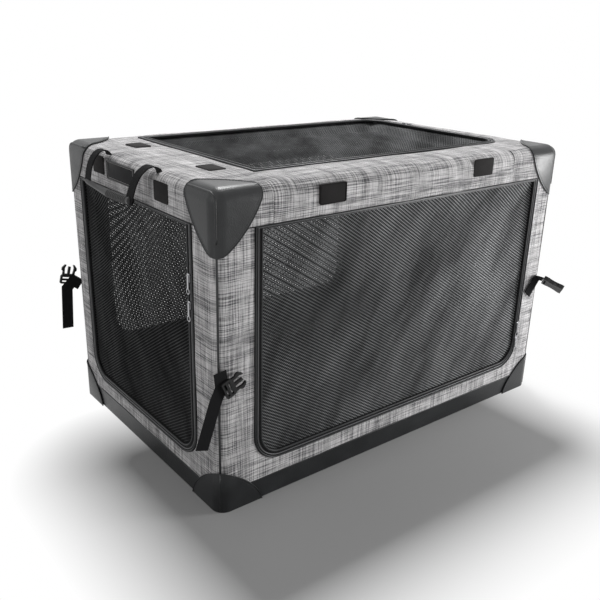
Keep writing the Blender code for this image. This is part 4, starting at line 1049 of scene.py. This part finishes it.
def small_plate(name, size, place, finish):
    """A small flat plate with rounded corners and soft edges, lying against a wall."""
    corner, soft_edge = 0.004, 0.0008
    piece = block(name, size, place)
    thin = min(range(3), key=lambda i: size[i])
    only(piece)
    bpy.ops.object.mode_set(mode="EDIT")
    bpy.ops.mesh.select_all(action="DESELECT")
    bpy.ops.object.mode_set(mode="OBJECT")
    for edge in piece.data.edges:
        a, b = (piece.data.vertices[i].co for i in edge.vertices)
        edge.select = abs((a - b)[thin]) > 1e-5
    bpy.ops.object.mode_set(mode="EDIT")
    bpy.ops.mesh.select_mode(type="EDGE")
    bpy.ops.mesh.bevel(offset=corner, segments=5)
    bpy.ops.object.mode_set(mode="OBJECT")
    modify(piece, "BEVEL", width=soft_edge, segments=2, limit_method="ANGLE")
    paint(piece, finish)
    return smooth(piece, 40)


class CRATE_OT_patches(bpy.types.Operator):
    """Add the thin hook-and-loop squares on the skirt and the roof"""
    bl_idname = "crate.add_patches"
    bl_label = "Hook-and-loop patches"

    def execute(self, context):
        thick, proud = 0.0022, 0.0006
        front, end, top = SKIN_Y + thick, SKIN_X + proud, SKIN_TOP + proud
        on_front, on_end = (0.060, thick, 0.036), (thick, 0.051, 0.036)
        on_top = (0.036, 0.051, thick)
        for name, place, size in (("header_left", (-0.213, -front, 0.568), on_front),
                                  ("header_right", (0.192, -front, 0.574), on_front),
                                  ("end_front", (-end, -0.1235, 0.564), on_end),
                                  ("end_back", (-end, 0.1345, 0.572), on_end),
                                  ("rear_front", (end, -0.125, 0.568), on_end),
                                  ("rear_back", (end, 0.125, 0.568), on_end),
                                  ("roof_front", (-0.3545, -0.1275, top), on_top),
                                  ("roof_back", (-0.3545, 0.157, top), on_top)):
            patch = small_plate(f"hook_patch_{name}", size, place, "hook")
            hang(patch, "roof", "black_binding")
        return {"FINISHED"}


def smooth_run(points, parts=8):
    """A smooth run through these points, as closer points on a Catmull-Rom curve."""
    points = [Vector(p) for p in points]
    ends = [points[0] * 2 - points[1], *points, points[-1] * 2 - points[-2]]
    line = []
    for a, b, c, d in zip(ends, ends[1:], ends[2:], ends[3:]):
        for t in (k / parts for k in range(parts)):
            line.append(0.5 * (b * 2 + (c - a) * t + (a * 2 - b * 5 + c * 4 - d) * t * t
                               + (b * 3 - a - c * 3 + d) * t ** 3))
    return [*line, points[-1]]


def strip(name, points, across, width, thick, finish):
    """Webbing cut to its length and laid along a run, with rounded corners at its free end."""
    across = Vector(across)
    line = smooth_run(points)
    lengths = [0.0]
    for first, second in zip(line, line[1:]):
        lengths.append(lengths[-1] + (second - first).length)
    half, tip, hem, worn = width / 2, 0.004, 0.0012, 0.0003
    piece = pattern(name, [rounded(0, lengths[-1], -half, half, (tip, tip, 0, 0))])
    cut_cells(piece, lengths[1:-1], [-half + hem, -half / 3, half / 3, half - hem])
    last = len(line) - 2

    def place(u, v):
        index = min(last, next((i for i, d in enumerate(lengths[1:]) if d >= u - 1e-9), last))
        run = line[index + 1] - line[index]
        share = (u - lengths[index]) / run.length
        before = line[index] - line[index - 1] if index else run
        after = line[index + 2] - line[index + 1] if index < last else run
        heading = (before.normalized() * (1 - share) + run.normalized()
                   + after.normalized() * share).normalized()
        side = (across - heading * heading.dot(across)).normalized()
        out = side.cross(heading).normalized()
        lower = worn if abs(v) > half - 0.001 else 0.0
        return line[index] + run * share + side * v - out * lower, out
    return wrap(piece, place, thick, finish, finish)


class CRATE_OT_handle(bpy.types.Operator):
    """Add the carry handle: two webbing legs and a tapered grip with ribs"""
    bl_idname = "crate.add_handle"
    bl_label = "Handle"

    def execute(self, context):
        run = ((0.0060, -0.0028), (0.0033, 0.0032), (-0.0032, 0.0072), (-0.0127, 0.0062),
               (-0.0237, -0.0033), (-0.0317, -0.0193), (-0.0362, -0.0393), (-0.0377, -0.0560))
        for name, top, low in (("back", 0.097, 0.1035), ("front", -0.109, -0.0745)):
            points = [(out - SKIN_X, top + (low - top) * (k / (len(run) - 1)) ** 1.4,
                       SKIN_TOP + up) for k, (out, up) in enumerate(run)]
            leg = strip(f"handle_leg_{name}", points, (0, 1, 0), 0.024, 0.0015, "webbing")
            hang(leg, "handle", "black_webbing", "handle_webbing")
        rings = [(0.1115, 0.003), (0.110, 0.0050), (0.104, 0.0056), (0.088, 0.0052),
                 (0.060, 0.0054), (0.032, 0.0064), (0.014, 0.0072)]
        for rib in range(12):
            middle = 0.008 - rib * 0.0066
            rings += [(middle, 0.0078), (middle - 0.0019, 0.0078), (middle - 0.0033, 0.0066),
                      (middle - 0.0052, 0.0066)]
        rings += [(-0.0730, 0.0076), (-0.0795, 0.0076), (-0.0812, 0.0058), (-0.0818, 0.003)]
        x, z = run[-1][0] - SKIN_X - 0.0005, SKIN_TOP + run[-1][1]
        bends = [0.0045 * (y / 0.1) ** 2 for y, _ in rings]
        line = [(x + bend * 0.4, y, z + bend) for bend, (y, _) in zip(bends, rings)]
        grip = from_curve("handle_grip_sleeve", [line], False, [radius for _, radius in rings],
                          dimensions="3D", bevel_depth=1.0, bevel_resolution=6,
                          use_fill_caps=True)
        paint(grip, "grip")
        smooth(grip, 40)
        hang(grip, "handle", "grip_rubber", "handle_grip")
        return {"FINISHED"}


class CRATE_OT_label(bpy.types.Operator):
    """Add the bare patch with its raised rim and its stitches"""
    bl_idname = "crate.add_label"
    bl_label = "Bare patch"

    def execute(self, context):
        low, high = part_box("label_patch")
        plate = small_plate("label_plate", (0.0012, high.y - low.y, high.z - low.z),
                            (low + high) / 2, "patch")
        hang(plate, "roof", "bare_patch", "label_patch")
        for name, by, radius, finish in (("label_rim", 0.0012, 0.0012, "vinyl"),
                                         ("label_stitch", 0.0040, 0.0004, "pale_thread")):
            loop = rounded(*inset(sides("label_patch", "yz"), by), (max(0.0015, 0.005 - by),) * 4)
            sew(name, [(low.x - 0.0002, u, v) for u, v in loop], radius, finish, "roof",
                "bare_patch", closed=True)
        return {"FINISHED"}


class CRATE_OT_mat(bpy.types.Operator):
    """Add the quilted mat: a block blown up by cloth simulation, then sewn through in channels"""
    bl_idname = "crate.add_mat"
    bl_label = "Floor mat"

    def execute(self, context):
        low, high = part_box("floor_mat")
        swell = 0.004
        mat = block("padded_mat", (high.x - low.x - swell * 2, high.y - low.y - swell * 2,
                                   high.z - low.z - swell),
                    ((low.x + high.x) / 2, (low.y + high.y) / 2, (low.z + high.z - swell) / 2))
        edit((bpy.ops.mesh.bevel, {"offset": 0.006, "segments": 4}))
        modify(mat, "REMESH", mode="VOXEL", voxel_size=0.0065)
        self.blow_up(context.scene, mat, swell)
        modify(mat, "SUBSURF", levels=1, render_levels=1)
        channel, stitched, dip_width, crumple = (high.x - low.x) / 8, 0.007, 0.011, 0.0016
        for vert in mat.data.vertices:
            u = ((vert.co.x - low.x) / channel) % 1
            v = ((vert.co.y - low.y) / channel) % 1
            seam = min(u, 1 - u, v, 1 - v) * channel
            if vert.co.z > (low.z + high.z) / 2:
                dip = math.exp(-(seam / dip_width) ** 2)
                vert.co.z -= stitched * dip
                vert.co.z += ripple(vert.co, crumple, 0.07) * (1 - dip)
            vert.co.z = max(low.z, min(high.z + 0.002, vert.co.z))
        paint(mat, "fleece")
        smooth(mat)
        hang(mat, "base", "mat_fleece", "floor_mat")
        return {"FINISHED"}

    def blow_up(self, scene, mat, swell):
        """Let pressure swell the mat for some frames, by no more than this distance."""
        frames = 14
        rest = [v.co.copy() for v in mat.data.vertices]
        cloth = mat.modifiers.new("swelling", "CLOTH")
        cloth.settings.use_pressure = True
        cloth.settings.uniform_pressure_force = 4
        cloth.settings.effector_weights.gravity = 0
        cloth.settings.quality = 4
        cloth.point_cache.frame_start = 1
        cloth.point_cache.frame_end = frames
        for moment in range(1, frames + 1):
            scene.frame_set(moment)
        apply(mat, cloth)
        scene.frame_set(1)
        for vert, before in zip(mat.data.vertices, rest):
            move = vert.co - before
            if move.length > swell:
                vert.co = before + move * (swell / move.length)


# The finish of each part that keeps its own shape, by the first of these words in its name
CARRIED = {"hoop": "steel", "post": "steel", "knuckle": "steel", "cap": "vinyl", "pan": "vinyl",
           "board": "board", "mat": "fleece", "slider": "silver", "pull": "silver",
           "strap": "webbing", "webbing": "webbing", "buckle": "nylon", "grip": "grip",
           "label": "patch"}


class CRATE_OT_carried(bpy.types.Operator):
    """Give the parts that keep their own shape their materials"""
    bl_idname = "crate.finish_carried"
    bl_label = "Carried parts"

    def execute(self, context):
        for name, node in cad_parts.items():
            if not node.hide_render:
                paint(node, next((CARRIED[word] for word in CARRIED if word in name),
                                 "binding"))
        return {"FINISHED"}


class CRATE_PT_panel(bpy.types.Panel):
    """Lists the steps that build the crate"""
    bl_idname = "CRATE_PT_panel"
    bl_label = "Pet travel crate"
    bl_space_type = "VIEW_3D"
    bl_region_type = "UI"
    bl_category = "Crate"

    def draw(self, context):
        for group in (context.scene.crate_sizes, context.scene.crate_colours):
            for key in type(group).__annotations__:
                self.layout.prop(group, key)
        for step in STEPS:
            self.layout.operator(step.bl_idname)


STEPS = (CRATE_OT_finishes, CRATE_OT_stage, CRATE_OT_walls, CRATE_OT_lid, CRATE_OT_nets,
         CRATE_OT_edges, CRATE_OT_zips, CRATE_OT_caps, CRATE_OT_cap_seams, CRATE_OT_seams,
         CRATE_OT_patches, CRATE_OT_handle, CRATE_OT_label, CRATE_OT_mat, CRATE_OT_carried)
CLASSES = (CrateSizes, CrateColours, *STEPS, CRATE_PT_panel)


def register():
    for kind in CLASSES:
        bpy.utils.register_class(kind)
    bpy.types.Scene.crate_sizes = bpy.props.PointerProperty(type=CrateSizes)
    bpy.types.Scene.crate_colours = bpy.props.PointerProperty(type=CrateColours)


def unregister():
    del bpy.types.Scene.crate_sizes
    del bpy.types.Scene.crate_colours
    for kind in reversed(CLASSES):
        bpy.utils.unregister_class(kind)


def main():
    register()
    for step in STEPS:
        group, name = step.bl_idname.split(".")
        getattr(getattr(bpy.ops, group), name)()


if __name__ == "__main__":
    main()
